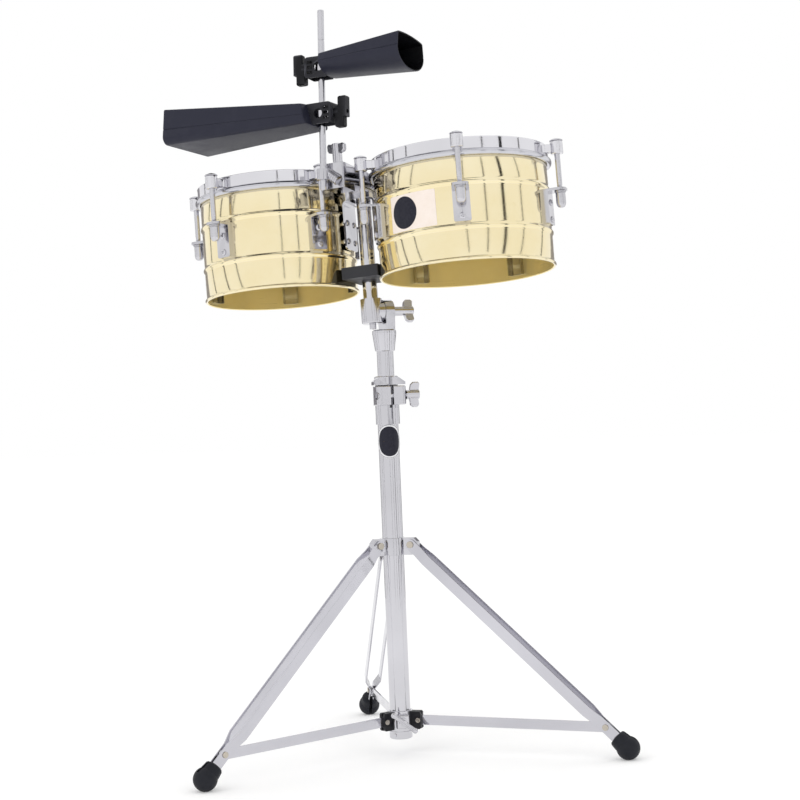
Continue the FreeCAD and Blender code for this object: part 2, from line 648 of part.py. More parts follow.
def radial_screw(radius, height, side, outer):
    """A round-headed screw through a bracket, the shell and its backing."""
    face = Vector(radius + outer, side, height)
    cap = rounded(rod(4.8, face, face + AXIS_X * 2.6), 1.6, lambda c, e: c.x > face.x + 2)
    return radial_shank(radius, height, side, outer).fuse(cap).removeSplitter()


def backing_channel(radius):
    """The U-shaped stiffener inside the shell behind a lug."""
    web = radius - SHELL_T - 0.8
    channel = block(web - CHANNEL_DEPTH, web, -CHANNEL_HALF, CHANNEL_HALF, CHANNEL_BOTTOM, CHANNEL_TOP)
    hollow = block(web - CHANNEL_DEPTH - 1, web - SHEET_T, -CHANNEL_HALF + SHEET_T, CHANNEL_HALF - SHEET_T,
                   CHANNEL_BOTTOM - 1, CHANNEL_TOP + 1)
    channel = channel.cut(hollow)
    for height in LUG_SCREWS:
        channel = channel.cut(radial_shank(radius, height, 0))
    return channel


def tuning_rod(radius):
    """A long bolt from the hoop's ear to the nut below the lug's flange."""
    top = EAR_CAP_TOP
    low = LUG_TOP - 19
    bolt = revolved([(0, low), (SCREW_R, low), (SCREW_R, top), (9.9, top), (9.9, top + 1.6),
                     (8.6, top + 2.8), (4.6, top + 4.4), (0, top + 4.8)])
    return moved(bolt, AXIS_X * (radius + TUNE_OUT))


def tuning_nut(radius):
    """A washer and a domed nut under the lug's flange."""
    seat = LUG_TOP - LUG_PLATE
    washer = revolved([(SCREW_R, seat - 3), (8.4, seat - 3), (8.4, seat), (SCREW_R, seat)])
    dome = revolved([(0, seat - 25), (3.4, seat - 24.6), (6.0, seat - 22.4), (7.2, seat - 18), (7.2, seat - 3),
                     (SCREW_R, seat - 3), (SCREW_R, seat - 16), (0, seat - 16)])
    return [moved(piece, AXIS_X * (radius + TUNE_OUT)) for piece in (washer, dome)]


def mount_plate(radius):
    """The bracket that hangs a drum from the yoke, bent over at the top, on four small feet."""
    bracket = block(radius + MOUNT_IN, radius + MOUNT_REACH, -MOUNT_HALF, MOUNT_HALF, MOUNT_BOTTOM, MOUNT_TOP)
    hollow = block(radius + MOUNT_OUT, radius + 40, -40, 40, MOUNT_BOTTOM - 1, MOUNT_TOP - 3)
    hollow = rounded(hollow, 4, lambda c, e: c.x < radius + MOUNT_OUT + 1 and c.z > MOUNT_TOP - 4)
    bracket = rounded(bracket, 7, lambda c, e: c.x < radius + MOUNT_IN + 1 and c.z > MOUNT_TOP - 1)
    bracket = bracket.cut(hollow)
    bracket = rounded(bracket, 6, lambda c, e: c.z < MOUNT_BOTTOM + 0.1 and e.BoundBox.YLength < 0.1)
    for height in MOUNT_SCREWS:
        for side in (-MOUNT_SCREW_SIDE, MOUNT_SCREW_SIDE):
            bracket = bracket.fuse(rod(5, Vector(radius - 3, side, height), Vector(radius + 3, side, height)))
    bracket = bracket.removeSplitter().cut(rod(radius, UP * 0, UP * 200))
    for height in MOUNT_SCREWS:
        for side in (-MOUNT_SCREW_SIDE, MOUNT_SCREW_SIDE):
            bracket = bracket.cut(radial_shank(radius, height, side, MOUNT_OUT))
    return bracket


def mount_screws(radius):
    """The four screws of one mount plate."""
    return [radial_screw(radius, height, side, MOUNT_OUT)
            for height in MOUNT_SCREWS for side in (-MOUNT_SCREW_SIDE, MOUNT_SCREW_SIDE)]


def drums():
    """Both drums, with the pieces they have in common gathered by kind."""
    shared = {"lug_brackets": [], "drum_screws": [], "backing_channels": [], "tuning_rods": [],
              "tuning_nuts": [], "mount_plates": []}
    for size, radius, side, angles in (("small", SMALL_R, -1, SMALL_LUGS), ("large", LARGE_R, 1, LARGE_LUGS)):
        centre = Vector(side * (SHELL_GAP + radius), 0, DRUM_BASE)
        to_post = 180 if side > 0 else 0

        def into_place(shape, angle=0.0):
            return placed(moved(turned(shape, angle), centre), LEANING)

        screws = [radial_screw(radius, height, 0, LUG_DEPTH) for height in LUG_SCREWS]
        drilled = shell(radius)
        for angle in angles:
            for screw in screws:
                drilled = drilled.cut(turned(screw, angle))
        for screw in mount_screws(radius):
            drilled = drilled.cut(turned(screw, to_post))
        keep(size + "_shell", into_place(drilled))
        keep(size + "_head", into_place(head(radius)))
        keep(size + "_flesh_hoop", into_place(flesh_hoop(radius)))
        keep(size + "_counterhoop", into_place(counterhoop(radius, angles)))
        for angle in angles:
            shared["lug_brackets"].append(into_place(lug_bracket(radius), angle))
            shared["backing_channels"].append(into_place(backing_channel(radius), angle))
            shared["tuning_rods"].append(into_place(tuning_rod(radius), angle))
            shared["drum_screws"] += [into_place(screw, angle) for screw in screws]
            shared["tuning_nuts"] += [into_place(piece, angle) for piece in tuning_nut(radius)]
        shared["mount_plates"].append(into_place(mount_plate(radius), to_post))
        shared["drum_screws"] += [into_place(screw, to_post) for screw in mount_screws(radius)]
    for name, pieces in shared.items():
        keep(name, *pieces)


# ---------------------------------------------------------------- centre pieces
def drum_post():
    return placed(pipe(POST_R, POST_R - POLE_WALL, BARREL_FLOOR - BARREL_HALF + GAP, YOKE_TOP - 3), LEANING)


def spacer_block():
    """The rubber block that keeps the two shells apart, hollowed to fit them."""
    body = block(-SHELL_GAP - 1, SHELL_GAP + 1, -BLOCK_HALF, BLOCK_HALF, BLOCK_BOTTOM, BLOCK_TOP)
    for side, radius in ((-1, SMALL_R), (1, LARGE_R)):
        centre = AXIS_X * (side * (SHELL_GAP + radius))
        body = body.cut(rod(radius, centre, centre + UP * 200))
    body = rounded(body, 1.2, lambda c, e: upright(e))
    return placed(body.cut(rod(POST_R, UP * 0, UP * 200)), LEANING)


def top_yoke():
    """The casting on the post that carries both drums and, on its front arm, the cowbell rod."""
    hub = block(-YOKE_HALF, YOKE_HALF, -YOKE_DEPTH, YOKE_DEPTH, YOKE_BOTTOM, YOKE_TOP)
    hub = rounded(hub, 5, lambda c, e: upright(e) and c.y > 0)
    arm = block(ARM_X - ARM_HALF, ARM_X + ARM_HALF, ARM_FRONT, -YOKE_DEPTH + 2, YOKE_BOTTOM, YOKE_TOP + 1)
    arm = rounded(arm, 3, lambda c, e: upright(e) and c.y < ARM_FRONT + 1)
    waist = block(ARM_X - ARM_HALF - 1, ARM_X + ARM_HALF + 1, -78, -YOKE_DEPTH, YOKE_BOTTOM - 1, YOKE_BOTTOM + 10)
    body = hub.fuse(arm).removeSplitter().cut(waist)
    body = body.cut(rod(POST_R, UP * 0, UP * (YOKE_TOP - 3)))
    body = body.cut(block(-1.5, 1.5, POST_R - 2, 40, YOKE_BOTTOM - 1, YOKE_TOP - 3))
    top = Vector(ARM_X, ARM_SCREW_Y, YOKE_TOP + 2)
    body = body.cut(rod(SCREW_R + FIT, top - UP * 22, top))
    pivot = Vector(ARM_X, ARM_FRONT, JAW_Z)
    body = body.cut(rod(JAW_PIN_R + FIT, pivot - AXIS_Y, pivot + AXIS_Y * 10))
    return placed(body, LEANING)


def arm_wing_screw():
    """The upright wing screw that locks the cowbell jaw."""
    screw = turned(turned(wing(-20, neck=ARM_SCREW_NECK), 62, axis=AXIS_X), -90, axis=AXIS_Y)
    return placed(moved(screw, Vector(ARM_X, ARM_SCREW_Y, YOKE_TOP + 1 + GAP)), LEANING)


def rod_jaw():
    """The jaw on the arm's front face: an eye round the rod, a ribbed barrel and a pivot pin."""
    eye = rod(EYE_R, ROD_FOOT - UP * 8, ROD_FOOT + UP * 8)
    start = Vector(ROD_X + 3, ROD_Y + 3, 5)
    line = Vector(math.cos(math.radians(-38)), 0, math.sin(math.radians(-38)))
    grip = rod(6.8, start, start + line * 24)
    for step in range(5):
        rib = start + line * (9 + 3.4 * step)
        grip = grip.fuse(rod(7.6, rib, rib + line * 1.7))
    pin = rod(JAW_PIN_R, AXIS_Y * (ROD_Y + 4), AXIS_Y * 9)
    jaw = eye.fuse(grip).fuse(pin)
    jaw = jaw.cut(rod(ROD_R + FIT, ROD_FOOT - UP * 30, ROD_FOOT + UP * 30))
    return placed(jaw.removeSplitter(), JAW_FRAME)


def cowbell_rod():
    """A straight steel rod with rounded ends and one index groove near its top."""
    bar = rod(ROD_R, ROD_FOOT + UP * ROD_BOTTOM, ROD_FOOT + UP * ROD_TOP)
    bar = rounded(bar, 1.5, lambda c, e: True if e.Length > 20 and e.BoundBox.ZLength < 1 else False)
    low = ROD_FOOT + UP * (ROD_TOP - ROD_FREE - 1.5)
    groove = rod(ROD_R + 2, low, low + UP * 1.5).cut(rod(ROD_R - 0.4, low, low + UP * 1.5))
    return placed(bar.cut(groove), JAW_FRAME)


# ---------------------------------------------------------------- cowbells
def bell_section(x, size, spec, slant, shrink=0.0):
    """A cross section: flat top, sides that lean in above the seam, a bent or bellied bottom."""
    width, top, bottom = size
    half = width / 2 - shrink
    top -= shrink
    bottom += shrink
    deep = spec["bend"] * (top - bottom)
    wide = spec["belly"] * half

    def at(y, z):
        return Vector(x + slant * z, y, z)

    def bend(side):
        turns = [math.radians(angle) for angle in range(0, 91, 15)]
        points = [at(side * (half - wide + wide * math.cos(turn)), bottom + deep - deep * math.sin(turn))
                  for turn in turns]
        curve = Part.BSplineCurve()
        curve.interpolate(points[::side])
        return curve.toShape()

    floor = Part.makeLine(at(half - wide, bottom), at(wide - half, bottom))
    rise = Part.makeLine(at(-half, bottom + deep), at(4 - half, top))
    roof = Part.makeLine(at(4 - half, top), at(half - 4, top))
    fall = Part.makeLine(at(half - 4, top), at(half, bottom + deep))
    return Part.Wire([fall, bend(1), floor, bend(-1), rise, roof])


def bell_shape(spec):
    """A tapered bell along X, closed by a slanted wall near the rod and open at its mouth."""
    start = bell_start(spec)
    mouth = BELL_START + spec["length"]
    outer = Part.makeLoft([bell_section(start, spec["back"], spec, spec["slant"]),
                           bell_section(mouth, spec["mouth"], spec, 0)], True, True)
    wide = [value * 1.02 for value in spec["mouth"]]
    inner = Part.makeLoft([bell_section(start + 2 * BELL_T, spec["back"], spec, spec["slant"], BELL_T),
                           bell_section(mouth + 4, wide, spec, 0, BELL_T)], True, True)
    return outer.cut(inner)


def bell_start(spec):
    """Where the closed end's middle stands, clear of the rod over its whole slant."""
    return BELL_START + abs(spec["slant"]) * spec["back"][1]


def bell_clamp(spec):
    """The black windowed bracket between a bell's closed end and its wing nut."""
    inward = bell_start(spec)
    frame = block(-BRACKET_REACH, inward + 8, -BRACKET_SIDE, BRACKET_SIDE, -BRACKET_HALF, BRACKET_HALF)
    frame = rounded(frame, 5, lambda c, e: c.x < 1 - BRACKET_REACH and abs(c.z) > BRACKET_HALF - 1)
    inner = BRACKET_SIDE - BRACKET_WALL
    frame = frame.cut(block(BRACKET_WALL - BRACKET_REACH, inward + 9, -inner, inner, -30, 30))
    around = [(-60, -60), (60, -60), (60, 60), (-60, 60)]
    behind = turned(plate(around, 120), math.degrees(math.atan(spec["slant"])), axis=AXIS_Y)
    frame = frame.cut(moved(behind, AXIS_X * (inward + 60 / math.cos(math.atan(spec["slant"])))))
    frame = frame.cut(rod(EYEBOLT_R, AXIS_X * -40, AXIS_X * -10))
    frame = frame.cut(rod(WINDOW_R, AXIS_Y * -20, AXIS_Y * 20))
    for low in WINDOWS:
        frame = frame.cut(block(-17.5, -9.5, -20, 20, low, low + 4))
    return frame


def bell_eyebolt():
    """An eye round the rod with a shank through the bracket's end wall."""
    eye = rod(EYE_R - 0.5, UP * -5, UP * 5)
    shank = rod(EYEBOLT_R, AXIS_X * -38, AXIS_X * -4)
    return eye.fuse(shank).cut(rod(ROD_R + FIT, UP * -9, UP * 9)).removeSplitter()


def bell_wing_nut():
    nut = t_handle(EYEBOLT_R + FIT)
    return moved(turned(nut, 180), AXIS_X * (-BRACKET_REACH - GAP))


def cowbells():
    for name, spec in BELLS.items():
        base = Placement(ROD_FOOT + UP * spec["height"], Rotation(UP, spec["angle"]))
        frame = JAW_FRAME.multiply(base)
        keep(name + "_bell", placed(bell_shape(spec), frame))
        keep(name + "_bell_clamp", placed(bell_clamp(spec), frame))
        keep(name + "_bell_eyebolt", placed(bell_eyebolt(), frame))
        keep(name + "_bell_wing_nut", placed(bell_wing_nut(), frame))


# ---------------------------------------------------------------- the whole part
def leg_pins():
    inside = STRAP_TOP_IN + STRAP_THICK + GAP
    pin = headed_pin(LEG_PIVOT_R, LEG_PIVOT_Z, inside, 5.2, 1.8)
    return [turned(pin, angle) for angle in LEG_ANGLES.values()]


def build():
    """Fill NODES with every piece."""
    for piece in (base_tube, tube_plug, plug_screw, leg_collar, pole_badge, height_clamp, clamp_bush, clamp_bolt,
                  clamp_wing_nut, memory_ring, upper_tube, tilter_socket, tilter_barrel, tilter_wing_screw,
                  tilt_stop_screw, drum_post, spacer_block, top_yoke, arm_wing_screw, rod_jaw, cowbell_rod):
        keep(piece.__name__, piece())
    keep("leg_pins", *leg_pins())
    legs()
    spreader()
    drums()
    cowbells()


build()
os.makedirs("parts", exist_ok=True)
for node, shape in NODES.items():
    shape.exportStep("parts/" + node + ".step")
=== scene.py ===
"""Looks for a pair of brass timbales with two cowbells on a chrome tripod stand.

Metres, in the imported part's own frame: the origin is on the pole's axis at floor level, +X runs
from the small drum to the large one, and -Y is the audience's side.
"""

import json
import math

import bpy
from mathutils import Matrix, Vector

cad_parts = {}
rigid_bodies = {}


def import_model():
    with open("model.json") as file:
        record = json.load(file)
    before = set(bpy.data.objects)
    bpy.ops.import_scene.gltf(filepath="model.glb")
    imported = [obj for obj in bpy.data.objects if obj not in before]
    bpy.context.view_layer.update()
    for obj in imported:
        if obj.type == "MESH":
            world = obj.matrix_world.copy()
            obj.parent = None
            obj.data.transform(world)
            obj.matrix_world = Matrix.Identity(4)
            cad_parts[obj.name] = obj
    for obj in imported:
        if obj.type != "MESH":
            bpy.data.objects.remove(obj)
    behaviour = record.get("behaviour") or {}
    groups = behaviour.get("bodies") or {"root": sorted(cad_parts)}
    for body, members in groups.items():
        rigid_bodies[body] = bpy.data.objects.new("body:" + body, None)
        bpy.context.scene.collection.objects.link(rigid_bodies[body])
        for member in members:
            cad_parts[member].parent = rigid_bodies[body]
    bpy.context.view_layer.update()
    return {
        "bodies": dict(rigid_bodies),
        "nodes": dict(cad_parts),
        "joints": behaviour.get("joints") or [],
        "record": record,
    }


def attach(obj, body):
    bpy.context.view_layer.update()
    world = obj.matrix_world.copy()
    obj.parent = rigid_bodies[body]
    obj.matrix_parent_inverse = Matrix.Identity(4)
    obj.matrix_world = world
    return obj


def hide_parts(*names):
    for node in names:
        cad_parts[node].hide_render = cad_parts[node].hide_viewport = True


# ---------------------------------------------------------------- the view
CAMERA_AT = (0.9910, -2.5225, 0.5251)
CAMERA_HEADING = 21.03
CAMERA_PITCH = 0.23
CAMERA_ROLL = -2.42
CAMERA_LENS = 80.0
CAMERA_REACH = 50.0

# ---------------------------------------------------------------- sizes, in millimetres and degrees
MM = 0.001
POLE_R = 15.875

BADGE_Z = 474.0
BADGE_ANGLE = -65.0
BADGE_TALL = 26.0
BADGE_WIDE = 22.5
BADGE_T = 0.7
BADGE_LIFT = 0.02
# The badge's dark oval and its border line: how far inside its edge, across and up.
BADGE_OVAL_IN = (4.5, 3.4)
BADGE_LINE_IN = (1.6, 1.2)
BADGE_OVAL_T = 0.25
BADGE_LINE_WIDTH = 0.5
BADGE_LINE_T = 0.12

HINGE_Z = 672.0
HINGE_ANGLE = 45.0
LEAN = -5.0
POST_OFFSET = 19.0
DRUM_BASE = 38.0
SHELL_GAP = 28.5
DRUM_R = {"small": 117.5, "large": 130.0}
DRUM_SIDE = {"small": -1, "large": 1}
LUG_ANGLES = {"small": (180, 108, 36, -36, -108), "large": (0, 72, 144, -144, -72)}

SHELL_T = 1.3
SHELL_H = 163.0
SHELL_EDGE = 0.4
SHELL_TOP_ROUND = 0.6
BEADS = (49.0, 113.0)
BEAD_OUT = 2.0
BEAD_HALF = 5.5
BEAD_STEPS = 8
RIM_R = 2.4
RIM_ANGLES = range(-150, 76, 15)
RIM_CLEAR = 1.0

FILM_T = 0.35
FILM_BEND = 2.0
FILM_INNER_BEND = 1.8
FILM_RIM = 4.0
FILM_TUCK = 153.0
FLESH_BOTTOM = 150.0
FLESH_TOP = 159.5
FLESH_OUT = 7.5
HOOP_IN = 0.5
HOOP_OUT = 3.0
HOOP_TOP = 177.0

TUNE_OUT = 22.0
EAR_R = 9.3
EAR_BOTTOM = 158.0
EAR_BORE = 4.3
WEB_IN = 3.5
SCREW_R = 4.0
LUG_TOP = 107.0
LUG_PLATE = 4.0
LUG_DEPTH = 6.5
LUG_SCREWS = (62.8, 88.0)
MOUNT_OUT = 5.3
MOUNT_SCREWS = (72.0, 100.0)
MOUNT_SCREW_SIDE = 13.0
# Each lug screw's cross stands at its own angle: the first one's, and the step to the next lug's.
SPIN_FIRST = 17.0
SPIN_STEP = 31.0

THREAD_R = 3.88
THREAD_PITCH = 1.25
THREAD_DEPTH = 0.42
THREAD_FACETS = 20
THREAD_STEPS = 5
THREAD_FADE = 4
THREAD_BELOW = 19.0
SHANK_ABOVE = 9.0
# The tuning rod's head: radius and height above the hoop.
ROD_HEAD = ((0, 0.1), (8.9, 0.1), (9.7, 0.5), (9.8, 1.3), (9.3, 1.9), (8.0, 2.5), (6.0, 3.4), (3.4, 4.3),
            (1.4, 4.7), (0, 4.8))
# The dome nut: radius and height above its washer's seat.
DOME_NUT = ((0, -25.0), (1.8, -24.9), (3.6, -24.4), (5.0, -23.4), (6.1, -21.8), (6.6, -20.2), (7.1, -18.6),
            (7.2, -17.0), (7.2, -4.4), (6.9, -3.3), (6.2, -3.1), (0, -3.1))
# Rings above the dome nut: outer radius, bottom and top from the same seat, and edge rounding.
WASHER = (8.4, -1.7, -0.1, 0.4)
NUT_COLLAR = (7.8, -3.1, -1.8, 0.5)

SCREW_HEAD_R = 4.8
SCREW_HEAD_TALL = 2.6
SCREW_HEAD_DROP = 1.5
RECESS_R = 2.7
RECESS_HALF = 0.52
RECESS_DEEP = 1.5

PANEL_FROM = -124.0
PANEL_TO = -88.5
PANEL_LOW = 54.5
PANEL_HIGH = 107.5
PANEL_LIFT = 0.02
PANEL_EDGE = 0.35
PANEL_T = 0.4
PANEL_BEVEL = 0.4
PANEL_CORNER = 2.0
PANEL_COLUMNS = 48
OVAL_AT = -112.0
OVAL_WIDE = 22.5
OVAL_TALL = 23.5
OVAL_T = 0.35

JAW_AT = (4.0, -118.0, 190.0)
JAW_TURN = 3.53
ROD_FOOT = (-12.0, -12.0, 0.0)
BELL_START = 10.0
BELL_T = 1.8
BELL_ARCH = 2.5
BELL_LEAN = 4.0
ROOF_SHARES = (0.2, 0.5, 0.8)
# The shoulder's rounding below the eaves: (in from the wall, down) and then (down, in from the wall).
SHOULDER_ROOF = ((2.2, 0.0), (1.0, 0.3))
SHOULDER_WALL = ((1.2, 0.1), (2.4, 0.0))
# The folded seam: depth, half width, and the groove's two edges above the middle.
SEAM_DEEP = 0.7
SEAM_HALF = 0.9
SEAM_GROOVE = (0.2, -0.5)
SEAM_CLEAR = 1.2
BEND_STEPS = 12
# A bell's skin, as cross sections: share of its length and how far inside the outer face.
BELL_OUTSIDE = ((0.0, 1.2), (0.004, 0.4), (0.014, 0.0), (0.25, 0.0), (0.5, 0.0), (0.75, 0.0), (0.996, 0.0))
BELL_LIP = ((1.0, 0.5), (1.0, BELL_T - 0.5))
BELL_INSIDE = ((0.996, BELL_T), (0.5, BELL_T), (0.03, BELL_T))
# Height on the rod, angle about it, length, mouth and back as (width, top, bottom), the back's slant,
# and as shares of the section: the lower corner's width (belly) and height (bend), and the seam's drop.
BELLS = {
    "small": dict(height=158.0, angle=-3.0, length=133.5, mouth=(94.0, 30.5, -19.5),
                  back=(72.0, 16.5, -15.0), slant=-0.1, belly=0.9, bend=0.5, seam=0.46),
    "large": dict(height=89.0, angle=171.5, length=235.0, mouth=(124.0, 31.0, -25.5),
                  back=(68.0, 16.5, -17.0), slant=0.3, belly=0.18, bend=0.2, seam=0.6),
}

# ---------------------------------------------------------------- how finely curved pieces are drawn
SHELL_FACETS = 320
HOOP_FACETS = 256
HEAD_FACETS = 192
PART_FACETS = 40
SHANK_FACETS = 32
SCREW_FACETS = 48
SCREW_RINGS = 14
OVAL_FACETS = 72
OVAL_RINGS = 6
LINE_FACETS = 96
CORNER_STEPS = 4
SMOOTH_BELOW = {"turned": 35, "folded": 30}

# ---------------------------------------------------------------- softened edges, in metres and degrees
WELD_WITHIN = 0.00001
FLAT_WITHIN = 0.5
ROUND_ABOVE = 32.0
FINE_EDGE = 0.0004
EDGES = {"foot_rubber": 0.0010, "block_rubber": 0.0012, "black_moulding": 0.0008, "cast_chrome": 0.0006}

# ---------------------------------------------------------------- colours and the nodes drawn as rivets
RIVETS = ("leg_pins", "spreader_pins", "rivet_left", "rivet_right", "rivet_back")
PLATE = (0.60, 0.595, 0.64)
# The hoops' chrome: a lighter copy of the same plating, painted light.
LIT_HOOP_PLATE = (0.74, 0.735, 0.77)
TUBE_PLATE = (0.63, 0.625, 0.66)
NICKEL = (0.58, 0.53, 0.45)
WHITE = (1.0, 1.0, 1.0)
BLACK_CARD = (0.01, 0.01, 0.012)
DIM_CARD = (0.30, 0.29, 0.30)

# Ranges of pointiness: 0.5 is flat, more is a convex edge, less is a concave corner.
# Convex edges and bead crests where the brass gets a painted highlight.
BRASS_HIGHLIGHT_EDGE = (0.51, 0.56)
COAT_EDGE = (0.52, 0.6)
# Convex edges that get a painted dark reflection on chrome, and concave corners that get painted shade.
PAINTED_DARK_EDGE = (0.53, 0.6)
PAINTED_SHADE_CORNER = (0.49, 0.42)

# ---------------------------------------------------------------- the studio, in metres, degrees and watts
FLOOR_HALF = 20.0
# Name, place, what it points at, width and depth, and power.
LIGHTS = (
    ("key", (-1.6, -2.6, 2.6), (0, 0, 0.7), (1.6, 1.6), 12),
    ("fill", (2.8, -1.2, 2.0), (0, 0, 0.6), (1.4, 2.0), 6),
)
# Standing cards that show in reflections: angle round the object, width and shade.
FLAGS = (
    (-137.5, 0.06, BLACK_CARD), (-65.5, 0.05, BLACK_CARD), (-39.5, 0.06, BLACK_CARD),
    (-16.5, 0.15, BLACK_CARD), (9.5, 0.06, BLACK_CARD), (45.5, 0.08, BLACK_CARD),
    (82.0, 0.75, DIM_CARD), (141.0, 0.75, DIM_CARD), (172.0, 0.08, BLACK_CARD), (-160.0, 0.08, BLACK_CARD),
)
FLAG_AWAY = 2.2
FLAG_TALL = 2.4
CEILING_X = (-1.5, 1.5)
CEILING_Y = (-1.5, -0.9)
CEILING_Z = 2.8


# ---------------------------------------------------------------- node helpers
class Shader:
    """A material's node tree, with short calls for the nodes used here."""

    def __init__(self, name):
        self.material = bpy.data.materials.new(name)
        self.material.use_nodes = True
        self.tree = self.material.node_tree
        self.tree.nodes.clear()
        self.surface = self.node("ShaderNodeBsdfPrincipled")
        output = self.node("ShaderNodeOutputMaterial")
        self.link(self.surface.outputs["BSDF"], output.inputs["Surface"])
        self.place = self.node("ShaderNodeTexCoord").outputs["Object"]

    def node(self, kind, **settings):
        made = self.tree.nodes.new(kind)
        for key, value in settings.items():
            setattr(made, key, value)
        return made

    def link(self, source, target):
        self.tree.links.new(source, target)

    def fill(self, socket, value):
        """Link a socket or set a number or colour."""
        if isinstance(value, bpy.types.NodeSocket):
            self.link(value, socket)
        else:
            socket.default_value = value

    def stretched(self, scale):
        """The object's own coordinates, scaled along each axis."""
        mapping = self.node("ShaderNodeMapping")
        self.link(self.place, mapping.inputs["Vector"])
        mapping.inputs["Scale"].default_value = scale
        return mapping.outputs["Vector"]

    def noise(self, scale, detail, rough=0.5, vector=None):
        made = self.node("ShaderNodeTexNoise")
        self.link(vector or self.place, made.inputs["Vector"])
        made.inputs["Scale"].default_value = scale
        made.inputs["Detail"].default_value = detail
        made.inputs["Roughness"].default_value = rough
        return made.outputs["Fac"]

    def cells(self, scale):
        made = self.node("ShaderNodeTexVoronoi")
        self.link(self.place, made.inputs["Vector"])
        made.inputs["Scale"].default_value = scale
        return made.outputs["Distance"]

    def remap(self, value, low, high, to_low=0.0, to_high=1.0):
        made = self.node("ShaderNodeMapRange")
        self.fill(made.inputs["Value"], value)
        for name, number in (("From Min", low), ("From Max", high), ("To Min", to_low), ("To Max", to_high)):
            made.inputs[name].default_value = number
        return made.outputs["Result"]

    def math(self, operation, first, second):
        made = self.node("ShaderNodeMath", operation=operation)
        self.fill(made.inputs[0], first)
        self.fill(made.inputs[1], second)
        return made.outputs["Value"]

    def mix(self, factor, first, second):
        made = self.node("ShaderNodeMix", data_type="RGBA")
        self.fill(made.inputs["Factor"], factor)
        self.fill(made.inputs["A"], first)
        self.fill(made.inputs["B"], second)
        return made.outputs["Result"]

    def over(self, color, mask, strength, other):
        """Another colour laid over the first where a mask is high."""
        return self.mix(self.math("MULTIPLY", mask, strength), color, rgb(*other))

    def pointed(self, low, high):
        """How far the surface's pointiness lies from low towards high."""
        return self.remap(self.node("ShaderNodeNewGeometry").outputs["Pointiness"], low, high)

    def inner_side(self):
        """1 on the inner side of a hollow piece, where its mesh says so."""
        return self.node("ShaderNodeAttribute", attribute_name="inner").outputs["Fac"]

    def bump(self, height, distance, strength):
        made = self.node("ShaderNodeBump")
        self.link(height, made.inputs["Height"])
        made.inputs["Distance"].default_value = distance
        made.inputs["Strength"].default_value = strength
        self.link(made.outputs["Normal"], self.surface.inputs["Normal"])

    def set(self, **values):
        """Set the shader's own sockets: base_color=..., roughness=... and so on."""
        names = {"base_color": "Base Color", "metallic": "Metallic", "roughness": "Roughness",
                 "coat": "Coat Weight", "coat_roughness": "Coat Roughness",
                 "specular": "Specular IOR Level",
                 "glow_color": "Emission Color", "glow": "Emission Strength"}
        for key, value in values.items():
            self.fill(self.surface.inputs[names[key]], value)
        return self.material


def rgb(red, green, blue):
    return (red, green, blue, 1.0)


# ---------------------------------------------------------------- materials
def chrome(name, tint, roughness=0.06, cast=0.0, painted_shade=0.0):
    """Chrome plate: hairlines, smudges, a cloudy film and, on castings, orange peel, a painted dark
    reflection on convex edges and painted shade in concave corners.
    """
    s = Shader(name)
    smudge = s.noise(38, 5, 0.6)
    hairline = s.noise(1, 2, 0.5, s.stretched((900, 900, 30)))
    cloud = s.noise(9, 2)
    color = s.mix(s.remap(cloud, 0.35, 0.7), rgb(*tint), rgb(*[value * 0.9 for value in tint]))
    # Painted dark reflection on convex edges, then painted shade in concave corners, both as strong as
    # painted_shade.
    color = s.over(color, s.pointed(*PAINTED_DARK_EDGE), painted_shade, (0.20, 0.20, 0.23))
    color = s.over(color, s.pointed(*PAINTED_SHADE_CORNER), painted_shade, (0.07, 0.07, 0.08))
    rough = s.math("ADD", s.remap(smudge, 0.45, 0.75, roughness, roughness + 0.09),
                   s.remap(hairline, 0.55, 0.8, 0, 0.05))
    height = s.math("ADD", s.math("MULTIPLY", s.noise(420, 2), cast), s.math("MULTIPLY", hairline, 0.15))
    s.bump(height, 0.00004, 0.3)
    return s.set(base_color=color, metallic=1.0, roughness=rough)


def brass():
    """Lacquered, spun brass: fine turning lines round the shell, warm clouds, darker handling marks and a
    painted highlight on convex edges.
    """
    s = Shader("spun_brass")
    turning = s.noise(1, 2, 0.5, s.stretched((6, 6, 2400)))
    broad = s.noise(1, 2, 0.5, s.stretched((3, 3, 160)))
    cloud = s.noise(14, 4, 0.6)
    spot = s.remap(s.noise(70, 4, 0.7), 0.66, 0.8)
    color = s.mix(s.remap(cloud, 0.3, 0.75), rgb(0.91, 0.81, 0.55), rgb(0.88, 0.76, 0.47))
    color = s.over(color, spot, 0.25, (0.70, 0.52, 0.20))
    # Painted highlight: pale cream on convex edges and bead crests.
    color = s.over(color, s.pointed(*BRASS_HIGHLIGHT_EDGE), 0.4, (0.97, 0.90, 0.66))
    inner = s.inner_side()
    color = s.mix(inner, color, s.mix(cloud, rgb(0.96, 0.82, 0.40), rgb(0.80, 0.64, 0.26)))
    rough = s.math("ADD", s.remap(turning, 0.3, 0.8, 0.05, 0.12), s.remap(cloud, 0.4, 0.8, 0, 0.05))
    rough = s.math("ADD", rough, s.math("MULTIPLY", inner, 0.22))
    s.bump(s.math("ADD", s.math("MULTIPLY", turning, 0.5), broad), 0.00004, 0.5)
    return s.set(base_color=color, metallic=s.remap(inner, 0, 1, 1.0, 0.6), roughness=rough, coat=0.15,
                 coat_roughness=0.06)


def panel_print(name, fresh, aged):
    """A thin lacquered sticker with a faint paper grain and slightly yellowed patches."""
    s = Shader(name)
    grain = s.noise(900, 3)
    age = s.noise(55, 4, 0.6)
    color = s.mix(s.remap(age, 0.35, 0.75), rgb(*fresh), rgb(*aged))
    s.bump(grain, 0.00003, 0.4)
    return s.set(base_color=color, roughness=s.remap(grain, 0.3, 0.8, 0.25, 0.4), coat=0.3)


